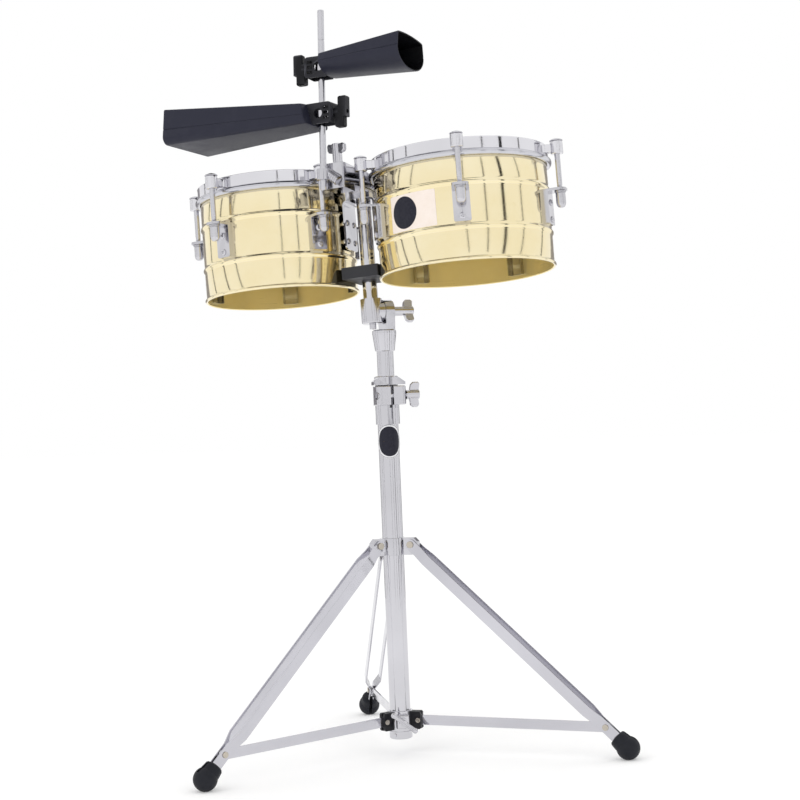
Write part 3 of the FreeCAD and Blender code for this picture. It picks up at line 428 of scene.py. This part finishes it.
def powder_coat(name, dark, pale):
    """Black powder coat: a fine pebbled skin, paler where it has been handled and struck, and painted
    near-black shade on the inner side of hollow pieces.
    """
    s = Shader(name)
    pebble = s.cells(1500)
    grain = s.noise(900, 3, 0.6)
    rub = s.remap(s.noise(26, 5, 0.65), 0.5, 0.78)
    color = s.over(rgb(*dark), rub, 0.5, pale)
    color = s.over(color, s.pointed(*COAT_EDGE), 0.6, (0.10, 0.10, 0.12))
    # Painted shade: the inner side of a hollow piece is painted near black.
    color = s.mix(s.inner_side(), color, s.mix(rub, rgb(0.002, 0.002, 0.003), rgb(0.004, 0.004, 0.006)))
    rough = s.remap(s.math("ADD", grain, rub), 0.5, 1.6, 0.42, 0.56)
    s.bump(s.math("ADD", pebble, s.math("MULTIPLY", grain, 0.6)), 0.00016, 0.55)
    return s.set(base_color=color, roughness=rough, specular=0.22)


def rubber(name, dark):
    """Moulded rubber with a dusty bloom, scuffs and a fine grain."""
    s = Shader(name)
    dust = s.remap(s.noise(45, 5, 0.6), 0.45, 0.75)
    grain = s.noise(1400, 2)
    color = s.over(rgb(*dark), dust, 0.3, (0.05, 0.05, 0.06))
    color = s.over(color, s.pointed(*COAT_EDGE), 0.4, (0.08, 0.08, 0.09))
    s.bump(grain, 0.00012, 0.5)
    return s.set(base_color=color, roughness=s.remap(dust, 0, 1, 0.5, 0.78), specular=0.25)


def moulding(name, dark):
    """Moulded nylon: satin with a slight flow pattern."""
    s = Shader(name)
    flow = s.noise(60, 4, 0.6)
    color = s.mix(s.remap(flow, 0.35, 0.75), rgb(*dark), rgb(*[value * 1.8 for value in dark]))
    s.bump(s.noise(1800, 2), 0.00008, 0.4)
    return s.set(base_color=color, roughness=s.remap(flow, 0.3, 0.8, 0.3, 0.48), specular=0.3)


def drum_film():
    """Coated polyester head: white, sprayed with fine grit, slightly grey where sticks land."""
    s = Shader("drum_film")
    grit = s.cells(1300)
    played = s.remap(s.noise(11, 5, 0.65), 0.42, 0.75)
    mark = s.remap(s.noise(1, 3, 0.6, s.stretched((60, 240, 240))), 0.66, 0.78)
    color = s.over(rgb(0.86, 0.86, 0.84), played, 0.5, (0.74, 0.74, 0.72))
    color = s.over(color, mark, 0.3, (0.45, 0.44, 0.42))
    s.bump(grit, 0.0001, 0.5)
    return s.set(base_color=color, roughness=s.remap(played, 0, 1, 0.6, 0.42), specular=0.4)


def satin_ring():
    """Rolled aluminium with drawing lines."""
    s = Shader("satin_ring")
    line = s.noise(1, 2, 0.5, s.stretched((5, 5, 1800)))
    color = s.mix(s.remap(line, 0.3, 0.8), rgb(0.56, 0.56, 0.60), rgb(0.68, 0.68, 0.72))
    s.bump(line, 0.00005, 0.5)
    return s.set(base_color=color, metallic=1.0, roughness=s.remap(line, 0.3, 0.8, 0.12, 0.24))


def enamel():
    """Gloss enamel with polishing swirls."""
    s = Shader("badge_enamel")
    swirl = s.noise(240, 4, 0.7)
    color = s.mix(s.remap(swirl, 0.4, 0.8), rgb(0.014, 0.014, 0.024), rgb(0.024, 0.024, 0.036))
    s.bump(s.noise(700, 2), 0.00003, 0.4)
    return s.set(base_color=color, roughness=s.remap(swirl, 0.3, 0.8, 0.15, 0.3), specular=0.2)


# ---------------------------------------------------------------- frames
def shift(x, y, z):
    return Matrix.Translation((x, y, z))


def turn(degrees, axis="Z"):
    return Matrix.Rotation(math.radians(degrees), 4, axis)


def leaning():
    """The drum post's frame, tilted on its hinge."""
    axis = Vector((math.cos(math.radians(HINGE_ANGLE)), math.sin(math.radians(HINGE_ANGLE)), 0))
    return Matrix.Translation(Vector((0, 0, HINGE_Z)) - axis * POST_OFFSET) @ turn(LEAN, axis)


def drum_frame(size):
    return leaning() @ shift(DRUM_SIDE[size] * (SHELL_GAP + DRUM_R[size]), 0, DRUM_BASE)


def bell_frame(size):
    spec = BELLS[size]
    jaw = leaning() @ shift(*JAW_AT) @ turn(JAW_TURN, "Y")
    return jaw @ shift(*ROD_FOOT) @ shift(0, 0, spec["height"]) @ turn(spec["angle"])


# ---------------------------------------------------------------- meshes: (points, faces) in millimetres
def at(mesh, matrix):
    """A mesh carried into another frame."""
    points, faces = mesh
    return [matrix @ Vector(point) for point in points], faces


def together(meshes):
    """Several meshes as one."""
    points, faces = [], []
    for more_points, more_faces in meshes:
        start = len(points)
        points.extend(more_points)
        faces.extend([[index + start for index in face] for face in more_faces])
    return points, faces


def corner(before, here, after, radius):
    """The points of a rounded corner in a 2-D outline."""
    before, here, after = Vector(before), Vector(here), Vector(after)
    back = (before - here).normalized()
    ahead = (after - here).normalized()
    reach = min(radius, (before - here).length * 0.49, (after - here).length * 0.49)
    start = here + back * reach
    end = here + ahead * reach
    rounded = []
    for step in range(CORNER_STEPS + 1):
        t = step / CORNER_STEPS
        rounded.append(start * (1 - t) ** 2 + here * 2 * t * (1 - t) + end * t * t)
    return rounded


def outline(corners):
    """A closed 2-D outline from (x, y, corner radius)."""
    smooth = []
    for index, (x, y, radius) in enumerate(corners):
        before = corners[index - 1][:2]
        after = corners[(index + 1) % len(corners)][:2]
        if radius:
            smooth.extend(corner(before, (x, y), after, radius))
        else:
            smooth.append(Vector((x, y)))
    return smooth


def lathe(profile, segments):
    """A closed profile of (radius, height) turned about Z."""
    count = len(profile)
    points = []
    for segment in range(segments):
        angle = math.tau * segment / segments
        points.extend((r * math.cos(angle), r * math.sin(angle), z) for r, z in profile)
    faces = []
    for segment in range(segments):
        here, there = segment * count, (segment + 1) % segments * count
        for index in range(count):
            after = (index + 1) % count
            faces.append((here + index, there + index, there + after, here + after))
    return points, faces


def dome(profile, segments):
    """An open profile that starts and ends on the Z axis, turned about it."""
    rings = profile[1:-1]
    points = [(0, 0, profile[0][1]), (0, 0, profile[-1][1])]
    for segment in range(segments):
        angle = math.tau * segment / segments
        points.extend((r * math.cos(angle), r * math.sin(angle), z) for r, z in rings)
    faces = []
    for segment in range(segments):
        here, there = 2 + segment * len(rings), 2 + (segment + 1) % segments * len(rings)
        faces.append((0, there, here))
        for index in range(len(rings) - 1):
            faces.append((here + index, there + index, there + index + 1, here + index + 1))
        faces.append((here + len(rings) - 1, there + len(rings) - 1, 1))
    return points, faces


def loft(loops):
    """A closed skin over loops with the same number of points."""
    count = len(loops[0])
    points = [point for loop in loops for point in loop]
    faces = []
    for row in range(len(loops) - 1):
        for index in range(count):
            after = (index + 1) % count
            here, there = row * count, (row + 1) * count
            faces.append((here + index, here + after, there + after, there + index))
    faces.append(tuple(reversed(range(count))))
    faces.append(tuple(range(len(points) - count, len(points))))
    return points, faces


def slab(shape, low, high, edge):
    """A 2-D outline extruded from low to high with softened edges."""
    middle = sum(shape, Vector((0, 0))) / len(shape)
    ease = edge * 0.3

    def level(height, inset):
        drawn = []
        for point in shape:
            inward = middle - point
            drawn.append(Vector((*(point + inward.normalized() * inset), height)))
        return drawn

    return loft([level(low, edge), level(low + ease, ease), level(low + edge, 0),
                 level(high - edge, 0), level(high - ease, ease), level(high, edge)])


def thread(low, high):
    """A threaded shank: rings whose radius runs with a helix, fading out at the ends."""
    rows = int((high - low) / THREAD_PITCH * THREAD_STEPS)
    loops = []
    for row in range(rows + 1):
        height = low + (high - low) * row / rows
        fade = min(1.0, THREAD_FADE * row / rows, THREAD_FADE * (rows - row) / rows)
        loop = []
        for segment in range(THREAD_FACETS):
            share = segment / THREAD_FACETS
            phase = (height / THREAD_PITCH - share) % 1.0
            r = THREAD_R - THREAD_DEPTH * fade * abs(2 * phase - 1)
            angle = math.tau * share
            loop.append((r * math.cos(angle), r * math.sin(angle), height))
        loops.append(loop)
    return loft(loops)


def add_piece(name, mesh, material, body, frame=None, replaces=(), make="turned"):
    """A mesh as an object that rides on a body and stands for CAD nodes."""
    points, faces = mesh
    data = bpy.data.meshes.new(name)
    data.from_pydata([tuple(value * MM for value in point) for point in points], [], faces)
    data.materials.append(material)
    data.polygons.foreach_set("use_smooth", [True] * len(data.polygons))
    data.set_sharp_from_angle(angle=math.radians(SMOOTH_BELOW[make]))
    made = bpy.data.objects.new(name, data)
    frame = frame or Matrix()
    made.matrix_world = Matrix.Translation(frame.to_translation() * MM) @ frame.to_3x3().to_4x4()
    bpy.context.scene.collection.objects.link(made)
    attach(made, body)
    if replaces:
        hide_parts(*replaces)
    return made


# ---------------------------------------------------------------- drums
def bead_bump(height):
    """How far the shell bulges at a height."""
    for bead in BEADS:
        away = abs(height - bead) / BEAD_HALF
        if away < 1:
            return BEAD_OUT * math.cos(away * math.pi / 2) ** 2
    return 0.0


def shell_mesh(radius):
    """The spun shell: rolled lower edge, raised beads and a wall of real thickness."""
    levels = [2 * RIM_R + RIM_CLEAR]
    for bead in BEADS:
        levels += [bead + BEAD_HALF * step / BEAD_STEPS for step in range(-BEAD_STEPS - 1, BEAD_STEPS + 2)]
    levels.append(SHELL_H - SHELL_TOP_ROUND)
    roll = [(radius + RIM_R * math.cos(t), RIM_R + RIM_R * math.sin(t))
            for t in [math.radians(angle) for angle in RIM_ANGLES]]
    outside = [(radius + bead_bump(z), z) for z in levels]
    inside = [(radius - SHELL_T + bead_bump(z), z) for z in reversed(levels)]
    top = [(radius - SHELL_EDGE, SHELL_H), (radius - SHELL_T + SHELL_EDGE, SHELL_H)]
    return lathe(roll + outside + top + inside, SHELL_FACETS)


def mark_inside(data, is_inside):
    """Store which points lie on the inner side of a hollow piece."""
    inner = data.attributes.new("inner", "FLOAT", "POINT")
    for point in data.vertices:
        inner.data[point.index].value = float(is_inside(point))


def mark_shell_inside(data, radius):
    """A shell's inner side is what lies inside the middle of its wall."""
    wall = radius - SHELL_T / 2

    def is_inside(point):
        r = Vector((point.co.x, point.co.y)).length / MM
        return r < wall + bead_bump(point.co.z / MM)

    mark_inside(data, is_inside)


def mark_bell_inside(data):
    """A bell's inner skin comes last in its mesh, and starts at the inner edge of its lip."""
    loops = len(BELL_OUTSIDE + BELL_LIP + BELL_INSIDE)
    inner_loops = len(BELL_INSIDE) + 1
    first = len(data.vertices) * (loops - inner_loops) // loops
    mark_inside(data, lambda point: point.index >= first)


def head_mesh(radius):
    """The film, pulled over the shell's edge into the flesh hoop."""
    edge = radius + FILM_T
    face = SHELL_H + FILM_T
    top = [(0, face), (radius / 2, face), (radius - FILM_RIM, face)]
    over = corner((0, face), (edge, face), (edge, 0), FILM_BEND)
    under = [(edge, FILM_TUCK), (radius, FILM_TUCK)]
    back = corner((radius, 0), (radius, SHELL_H), (0, SHELL_H), FILM_INNER_BEND)
    return dome([*top, *over, *under, *back, (0, SHELL_H)], HEAD_FACETS)


def flesh_hoop_mesh(radius):
    """The ring that holds the film's edge, rounder outside than inside."""
    inner, outer = radius + FILM_T, radius + FLESH_OUT
    section = [(inner, FLESH_BOTTOM + 0.6, 0.4), (outer - 3.0, FLESH_BOTTOM, 1.5),
               (outer, FLESH_BOTTOM + 3.0, 2.8), (outer, FLESH_TOP - 2.2, 2.8), (outer - 3.4, FLESH_TOP, 1.2),
               (inner, FLESH_TOP, 0.4)]
    return lathe(outline(section), HOOP_FACETS)


def ear_barrel_mesh():
    """The barrel that a tuning rod passes through."""
    top = HOOP_TOP - 0.1
    barrel = [(EAR_BORE, EAR_BOTTOM, 0.4), (EAR_R - 0.3, EAR_BOTTOM, 1.2), (EAR_R, EAR_BOTTOM + 3, 2),
              (EAR_R, HOOP_TOP - 2, 2), (EAR_R - 0.3, top, 0.9), (EAR_BORE, top, 0.4)]
    return lathe(outline(barrel), PART_FACETS)


def ear_web_mesh(radius):
    """The web between the hoop and a barrel, waisted in the middle."""
    far = radius + TUNE_OUT - 3
    web = [(radius + 1.5, -8.5, 0), (radius + 6, -6.2, 3), (far, -5.6, 0),
           (far, 5.6, 0), (radius + 6, 6.2, 3), (radius + 1.5, 8.5, 0)]
    return slab(outline(web), EAR_BOTTOM + WEB_IN, HOOP_TOP - WEB_IN, 1.0)


def counterhoop_mesh(size):
    """The flat hoop with its barrel-shaped ears on short webs."""
    radius = DRUM_R[size]
    outer = radius + HOOP_OUT
    band = [(radius + HOOP_IN, FLESH_TOP, 0.3), (outer, FLESH_TOP, 0.5),
            (outer, HOOP_TOP - 1.2, 0.6), (outer + 0.5, HOOP_TOP - 0.6, 0.5),
            (outer - 0.2, HOOP_TOP, 0.6), (radius + HOOP_IN, HOOP_TOP, 0.8)]
    meshes = [lathe(outline(band), HOOP_FACETS)]
    ear = together([at(ear_barrel_mesh(), shift(radius + TUNE_OUT, 0, 0)), ear_web_mesh(radius)])
    meshes += [at(ear, turn(angle)) for angle in LUG_ANGLES[size]]
    return together(meshes)


def tuning_rod_mesh():
    """A long bolt: domed head with its collar, plain shank and a rolled thread below."""
    middle = LUG_TOP + SHANK_ABOVE
    shank = [(0, middle), (SCREW_R - 0.15, middle), (SCREW_R, middle + 0.4), (SCREW_R, HOOP_TOP + 0.2),
             (0, HOOP_TOP + 0.2)]
    return together([at(dome(ROD_HEAD, PART_FACETS), shift(0, 0, HOOP_TOP)), dome(shank, SHANK_FACETS),
                     thread(LUG_TOP - THREAD_BELOW, middle + 0.2)])


def washer_mesh(outer, low, high, rounding):
    """A ring on the tuning rod, with a rounded outer edge."""
    section = [(SCREW_R, low, 0.2), (outer, low, rounding), (outer, high, rounding), (SCREW_R, high, 0.2)]
    return lathe(outline(section), PART_FACETS)


def tuning_nut_mesh():
    """A thin washer and a closed dome nut with its collar, hanging from the lug's plate."""
    seat = shift(0, 0, LUG_TOP - LUG_PLATE)
    return at(together([washer_mesh(*WASHER), washer_mesh(*NUT_COLLAR), dome(DOME_NUT, PART_FACETS)]), seat)


def cross_screw_mesh():
    """A pan head along +Z, face down at 0, with a Phillips recess."""
    circle = [math.tau * segment / SCREW_FACETS for segment in range(SCREW_FACETS)]
    points = [(0, 0, SCREW_HEAD_TALL - RECESS_DEEP)]
    for ring in range(1, SCREW_RINGS + 1):
        r = SCREW_HEAD_R * ring / SCREW_RINGS
        crown = SCREW_HEAD_TALL - SCREW_HEAD_DROP * (r / SCREW_HEAD_R) ** 4
        for angle in circle:
            x, y = r * math.cos(angle), r * math.sin(angle)
            in_recess = min(abs(x), abs(y)) < RECESS_HALF and r < RECESS_R
            cut = RECESS_DEEP * (1 - r / RECESS_R) ** 0.5 if in_recess else 0.0
            points.append((x, y, crown - cut))
    points += [(SCREW_HEAD_R * math.cos(angle), SCREW_HEAD_R * math.sin(angle), 0) for angle in circle]
    faces = []
    for segment in range(SCREW_FACETS):
        after = (segment + 1) % SCREW_FACETS
        faces.append((0, 1 + segment, 1 + after))
        for ring in range(SCREW_RINGS):
            here = 1 + ring * SCREW_FACETS
            there = here + SCREW_FACETS
            faces.append((here + segment, there + segment, there + after, here + after))
    return points, faces


def drum_screws_mesh():
    """Every visible screw head on both drums: at mixed angles on the lugs, upright on the mounts."""
    head = at(cross_screw_mesh(), turn(90, "Y"))
    meshes = []
    for size, radius in DRUM_R.items():
        frame = drum_frame(size)
        for index, angle in enumerate(LUG_ANGLES[size]):
            for height in LUG_SCREWS:
                spin = turn(SPIN_FIRST + SPIN_STEP * index + height, "X")
                meshes.append(at(head, frame @ turn(angle) @ shift(radius + LUG_DEPTH, 0, height) @ spin))
        to_post = turn(180 if DRUM_SIDE[size] > 0 else 0)
        for height in MOUNT_SCREWS:
            for side in (-MOUNT_SCREW_SIDE, MOUNT_SCREW_SIDE):
                meshes.append(at(head, frame @ to_post @ shift(radius + MOUNT_OUT, side, height)))
    return together(meshes)


def on_every_lug(mesh):
    """A mesh on the tuning axis, repeated at every lug of both drums."""
    meshes = []
    for size, radius in DRUM_R.items():
        for angle in LUG_ANGLES[size]:
            meshes.append(at(mesh, drum_frame(size) @ turn(angle) @ shift(radius + TUNE_OUT, 0, 0)))
    return together(meshes)


def oval_plate(radius, middle, height, wide, tall, thick, lift):
    """An oval disc bent round a cylinder, with a softly rounded rim."""
    steps = [(ring / OVAL_RINGS, thick) for ring in range(OVAL_RINGS)]
    steps += [(0.97, thick), (0.99, thick * 0.8), (1.0, thick * 0.4), (1.0, 0)]
    points, faces = [], []
    for share, out in steps:
        for segment in range(OVAL_FACETS):
            t = math.tau * segment / OVAL_FACETS
            angle = math.radians(middle) + share * wide * math.cos(t) / radius
            r = radius + lift + out
            points.append((r * math.cos(angle), r * math.sin(angle), height + share * tall * math.sin(t)))
    for row in range(len(steps) - 1):
        for segment in range(OVAL_FACETS):
            after = (segment + 1) % OVAL_FACETS
            here, there = row * OVAL_FACETS, (row + 1) * OVAL_FACETS
            faces.append((here + segment, there + segment, there + after, here + after))
    return points, faces


def oval_ring(radius, middle, height, wide, tall, width, thick, lift):
    """A narrow raised border that follows an oval on a cylinder."""
    section = [(0, 0), (0, thick * 0.7), (0.25, thick), (0.75, thick), (1, thick * 0.7), (1, 0)]
    points, faces = [], []
    for segment in range(LINE_FACETS):
        t = math.tau * segment / LINE_FACETS
        for across, out in section:
            grow = across * width
            angle = math.radians(middle) + (wide + grow) * math.cos(t) / radius
            r = radius + lift + out
            points.append((r * math.cos(angle), r * math.sin(angle), height + (tall + grow) * math.sin(t)))
    count = len(section)
    for segment in range(LINE_FACETS):
        here, there = segment * count, (segment + 1) % LINE_FACETS * count
        for index in range(count):
            after = (index + 1) % count
            faces.append((here + index, here + after, there + after, there + index))
    return points, faces


def panel_mesh(radius):
    """The thin maker's panel between the beads, with rounded corners and nothing printed on it."""
    middle = (PANEL_FROM + PANEL_TO) / 2
    half = math.radians(PANEL_TO - PANEL_FROM) / 2 * radius
    loops = []
    for column in range(PANEL_COLUMNS + 1):
        across = -half + 2 * half * column / PANEL_COLUMNS
        inset = max(0.0, PANEL_CORNER - (half - abs(across))) ** 2 / PANEL_CORNER / 2
        low, high = PANEL_LOW + inset, PANEL_HIGH - inset
        angle = math.radians(middle) + across / radius
        section = ((PANEL_LIFT, low), (PANEL_EDGE, low), (PANEL_T, low + PANEL_BEVEL),
                   (PANEL_T, high - PANEL_BEVEL), (PANEL_EDGE, high), (PANEL_LIFT, high))
        loops.append([((radius + out) * math.cos(angle), (radius + out) * math.sin(angle), z)
                      for out, z in section])
    return loft(loops)


# ---------------------------------------------------------------- cowbells
def bell_wall(half, sunk, height, low, high):
    """A point on a side wall, which leans in from the lower bend to the roof."""
    lean = BELL_LEAN * max(0.0, (height - low) / (high - low))
    return Vector((half - lean - sunk, height))


def bell_side(spec, half, top, bottom, groove):
    """The right half of a bell's section: arched roof, rounded shoulder, seam and bent lower corner."""
    bend = spec["bend"] * (top - bottom)
    seam = top - spec["seam"] * (top - bottom)
    flat = half - BELL_LEAN
    eaves = top - BELL_ARCH
    side = [Vector((across * flat, top - BELL_ARCH * across ** 2)) for across in ROOF_SHARES]
    side += [Vector((flat - away, eaves - drop)) for away, drop in SHOULDER_ROOF]
    walls = [(eaves - drop, sunk) for drop, sunk in SHOULDER_WALL]
    walls += [(seam + SEAM_HALF, 0.0), *[(seam + up, groove) for up in SEAM_GROOVE], (seam - SEAM_HALF, 0.0)]
    side += [bell_wall(half, sunk, height, bottom + bend, top) for height, sunk in walls]
    wide = spec["belly"] * half
    first = math.asin(min(1.0, max(0.0, (bottom + bend - seam + SEAM_CLEAR) / bend)))
    for step in range(BEND_STEPS + 1):
        angle = first + (math.pi / 2 - first) * step / BEND_STEPS
        side.append(Vector((half - wide + wide * math.cos(angle), bottom + bend - bend * math.sin(angle))))
    return side


def bell_section(spec, share, inset):
    """The bell's cross section at a share of its length, set in from its outer face."""
    start = BELL_START + abs(spec["slant"]) * spec["back"][1]
    width, top, bottom = [back + (mouth - back) * share for back, mouth in zip(spec["back"], spec["mouth"])]
    groove = SEAM_DEEP if inset < BELL_T / 2 else 0.0
    side = bell_side(spec, width / 2 - inset, top - inset, bottom + inset, groove)
    other = [Vector((-point.x, point.y)) for point in reversed(side)]
    along = start + (BELL_START + spec["length"] - start) * share
    slant = spec["slant"] * (1 - share)
    return [(along + slant * point.y, point.x, point.y) for point in side + other]


def bell_mesh(size):
    """A folded sheet bell with softened back edges, a wall of real thickness and a rounded lip."""
    skin = BELL_OUTSIDE + BELL_LIP + BELL_INSIDE
    return loft([bell_section(BELLS[size], share, inset) for share, inset in skin])


# ---------------------------------------------------------------- carried-over nodes
def soften(node, width):
    """Give a CAD node small rounded edges and smooth curved faces, without touching its vertices."""
    mesh = node.data
    custom = mesh.attributes.get("custom_normal")
    if custom:
        mesh.attributes.remove(custom)
    mesh.polygons.foreach_set("use_smooth", [True] * len(mesh.polygons))
    weld = node.modifiers.new("weld", "WELD")
    weld.merge_threshold = WELD_WITHIN
    flat = node.modifiers.new("flat_faces", "DECIMATE")
    flat.decimate_type = "DISSOLVE"
    flat.angle_limit = math.radians(FLAT_WITHIN)
    bevel = node.modifiers.new("rounded", "BEVEL")
    bevel.width = width
    bevel.segments = 2
    bevel.limit_method = "ANGLE"
    bevel.angle_limit = math.radians(ROUND_ABOVE)
    bevel.face_strength_mode = "FSTR_NEW"
    normals = node.modifiers.new("normals", "WEIGHTED_NORMAL")
    normals.use_face_influence = True


def dress(nodes, materials, slots):
    """Give every CAD node its material, by its slot in the record, and softened edges."""
    for name, node in nodes.items():
        node.data.materials.clear()
        node.data.materials.append(materials["rivet_nickel" if name in RIVETS else slots[name]])
        soften(node, EDGES.get(slots[name], FINE_EDGE))


# ---------------------------------------------------------------- stage
def add_camera():
    data = bpy.data.cameras.new("view")
    data.lens = CAMERA_LENS
    data.clip_end = CAMERA_REACH
    camera = bpy.data.objects.new("view", data)
    facing = turn(CAMERA_HEADING) @ turn(90 + CAMERA_PITCH, "X") @ turn(CAMERA_ROLL)
    camera.matrix_world = shift(*CAMERA_AT) @ facing
    bpy.context.scene.collection.objects.link(camera)
    bpy.context.scene.camera = camera


def add_world():
    world = bpy.data.worlds.new("studio")
    world.use_nodes = True
    background = world.node_tree.nodes["Background"]
    background.inputs["Color"].default_value = rgb(*WHITE)
    background.inputs["Strength"].default_value = 1.0
    bpy.context.scene.world = world
    bpy.context.scene.view_settings.view_transform = "Standard"


def add_light(name, place, towards, size, power):
    """A soft rectangular lamp that doesn't show in reflections."""
    data = bpy.data.lights.new(name, "AREA")
    data.shape = "RECTANGLE"
    data.size, data.size_y = size
    data.energy = power
    light = bpy.data.objects.new(name, data)
    light.location = place
    light.rotation_euler = (Vector(towards) - Vector(place)).to_track_quat("-Z", "Y").to_euler()
    light.visible_glossy = False
    bpy.context.scene.collection.objects.link(light)


def sheet_object(name, corners, material):
    """A flat sheet that belongs to the studio."""
    mesh = bpy.data.meshes.new(name)
    mesh.from_pydata(corners, [], [tuple(range(len(corners)))])
    made = bpy.data.objects.new(name, mesh)
    made.data.materials.append(material)
    bpy.context.scene.collection.objects.link(made)
    return made


def floor_material():
    """A pale, matt floor with faint patches, and a little glow so that it stays near white."""
    s = Shader("studio_floor")
    shade = s.noise(3, 3)
    s.bump(s.noise(500, 2), 0.00005, 0.2)
    return s.set(base_color=s.mix(shade, rgb(0.84, 0.84, 0.84), rgb(0.87, 0.87, 0.87)), roughness=0.9,
                 specular=0.0, glow_color=rgb(*WHITE), glow=0.17)


def add_card(name, corners, shade):
    """A matt card that shows only in reflections."""
    s = Shader(name)
    card = sheet_object(name, corners, s.set(base_color=rgb(*shade), roughness=0.9, specular=0.0))
    card.visible_camera = False
    card.visible_diffuse = False
    card.visible_shadow = False


def add_flag(name, angle, width, shade):
    """A card standing at an angle round the object."""
    middle = turn(angle) @ Vector((FLAG_AWAY, 0, 0))
    side = turn(angle) @ Vector((0, width / 2, 0))
    up = Vector((0, 0, FLAG_TALL))
    add_card(name, [middle - side, middle + side, middle + side + up, middle - side + up], shade)


def level_corners(x_range, y_range, height):
    """The corners of a level rectangle."""
    left, right = x_range
    near, far = y_range
    return [(left, near, height), (right, near, height), (right, far, height), (left, far, height)]


def add_stage():
    """The floor, the lamps, the standing cards, and one overhead for the castings' upper edges."""
    across = (-FLOOR_HALF, FLOOR_HALF)
    sheet_object("floor", level_corners(across, across, 0), floor_material())
    for lamp in LIGHTS:
        add_light(*lamp)
    for index, flag in enumerate(FLAGS):
        add_flag("flag_%d" % index, *flag)
    add_card("ceiling_card", level_corners(CEILING_X, CEILING_Y, CEILING_Z), BLACK_CARD)


# ---------------------------------------------------------------- the whole scene
def add_drums(materials):
    """The turned and pressed drum parts, drawn finer than the CAD's own."""
    for size, radius in DRUM_R.items():
        frame = drum_frame(size)
        pieces = (("shell", shell_mesh(radius), "shell_brass"),
                  ("head", head_mesh(radius), "head_film"),
                  ("flesh_hoop", flesh_hoop_mesh(radius), "flesh_metal"),
                  ("counterhoop", counterhoop_mesh(size), "hoop_chrome"))
        for part, mesh, slot in pieces:
            name = "%s_%s" % (size, part)
            made = add_piece("fine_" + name, mesh, materials[slot], "drums", frame, [name])
            if part == "shell":
                mark_shell_inside(made.data, radius)
    for name, mesh in (("tuning_rods", on_every_lug(tuning_rod_mesh())),
                       ("tuning_nuts", on_every_lug(tuning_nut_mesh())),
                       ("drum_screws", drum_screws_mesh())):
        add_piece("fine_" + name, mesh, materials["steel_chrome"], "drums", None, [name])


def add_drum_panel(materials):
    """A blank panel and a blank oval on the large drum."""
    radius = DRUM_R["large"]
    frame = drum_frame("large")
    middle = (PANEL_LOW + PANEL_HIGH) / 2
    add_piece("drum_panel", panel_mesh(radius), materials["badge_panel"], "drums", frame)
    oval = oval_plate(radius, OVAL_AT, middle, OVAL_WIDE, OVAL_TALL, OVAL_T, PANEL_T)
    add_piece("drum_oval", oval, materials["badge_black"], "drums", frame)


def add_pole_badge(materials):
    """A blank oval plate on the pole: pale rim, thin dark line and dark middle."""
    def inset(by):
        return BADGE_WIDE - by[0], BADGE_TALL - by[1]

    place = (POLE_R, BADGE_ANGLE, BADGE_Z)
    rim = oval_plate(*place, BADGE_WIDE, BADGE_TALL, BADGE_T, BADGE_LIFT)
    add_piece("pole_badge_rim", rim, materials["badge_rim"], "stand", None, ["pole_badge"])
    oval = oval_plate(*place, *inset(BADGE_OVAL_IN), BADGE_OVAL_T, BADGE_T + 2 * BADGE_LIFT)
    add_piece("pole_badge_oval", oval, materials["badge_black"], "stand")
    line = oval_ring(*place, *inset(BADGE_LINE_IN), BADGE_LINE_WIDTH, BADGE_LINE_T, BADGE_T)
    add_piece("pole_badge_line", line, materials["badge_black"], "stand")


def add_bells(materials):
    """Both bells, bent from sheet with a hollow inside."""
    for size in BELLS:
        name = "%s_bell" % size
        made = add_piece("fine_" + name, bell_mesh(size), materials["bell_black"], name,
                         bell_frame(size), [name], "folded")
        mark_bell_inside(made.data)


def all_materials():
    """Every material by its slot in the record, and a few for pieces that are only drawn here."""
    return {
        "steel_chrome": chrome("steel_chrome", TUBE_PLATE),
        "cast_chrome": chrome("cast_chrome", TUBE_PLATE, roughness=0.08, cast=1.0, painted_shade=0.55),
        "strap_chrome": chrome("strap_chrome", PLATE, roughness=0.08, cast=0.4),
        "hoop_chrome": chrome("hoop_chrome", LIT_HOOP_PLATE),
        "rivet_nickel": chrome("rivet_nickel", NICKEL, roughness=0.22, cast=0.6, painted_shade=0.3),
        "flesh_metal": satin_ring(),
        "shell_brass": brass(),
        "head_film": drum_film(),
        "bell_black": powder_coat("bell_coat", (0.020, 0.021, 0.036), (0.034, 0.035, 0.052)),
        "bracket_black": powder_coat("bracket_coat", (0.004, 0.004, 0.006), (0.012, 0.012, 0.016)),
        "foot_rubber": rubber("foot_rubber", (0.008, 0.009, 0.014)),
        "block_rubber": rubber("block_rubber", (0.006, 0.007, 0.010)),
        "black_moulding": moulding("black_moulding", (0.005, 0.005, 0.007)),
        "bush_nylon": moulding("bush_nylon", (0.05, 0.05, 0.055)),
        "badge_black": enamel(),
        "badge_panel": panel_print("badge_panel", (0.90, 0.80, 0.73), (0.86, 0.75, 0.66)),
        "badge_rim": panel_print("badge_rim", (0.80, 0.80, 0.82), (0.72, 0.72, 0.75)),
    }


def main():
    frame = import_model()
    slots = {part["node"]: part["material_slot"] for part in frame["record"]["subparts"]}
    materials = all_materials()
    dress(frame["nodes"], materials, slots)
    add_drums(materials)
    add_drum_panel(materials)
    add_pole_badge(materials)
    add_bells(materials)
    add_camera()
    add_world()
    add_stage()


main()
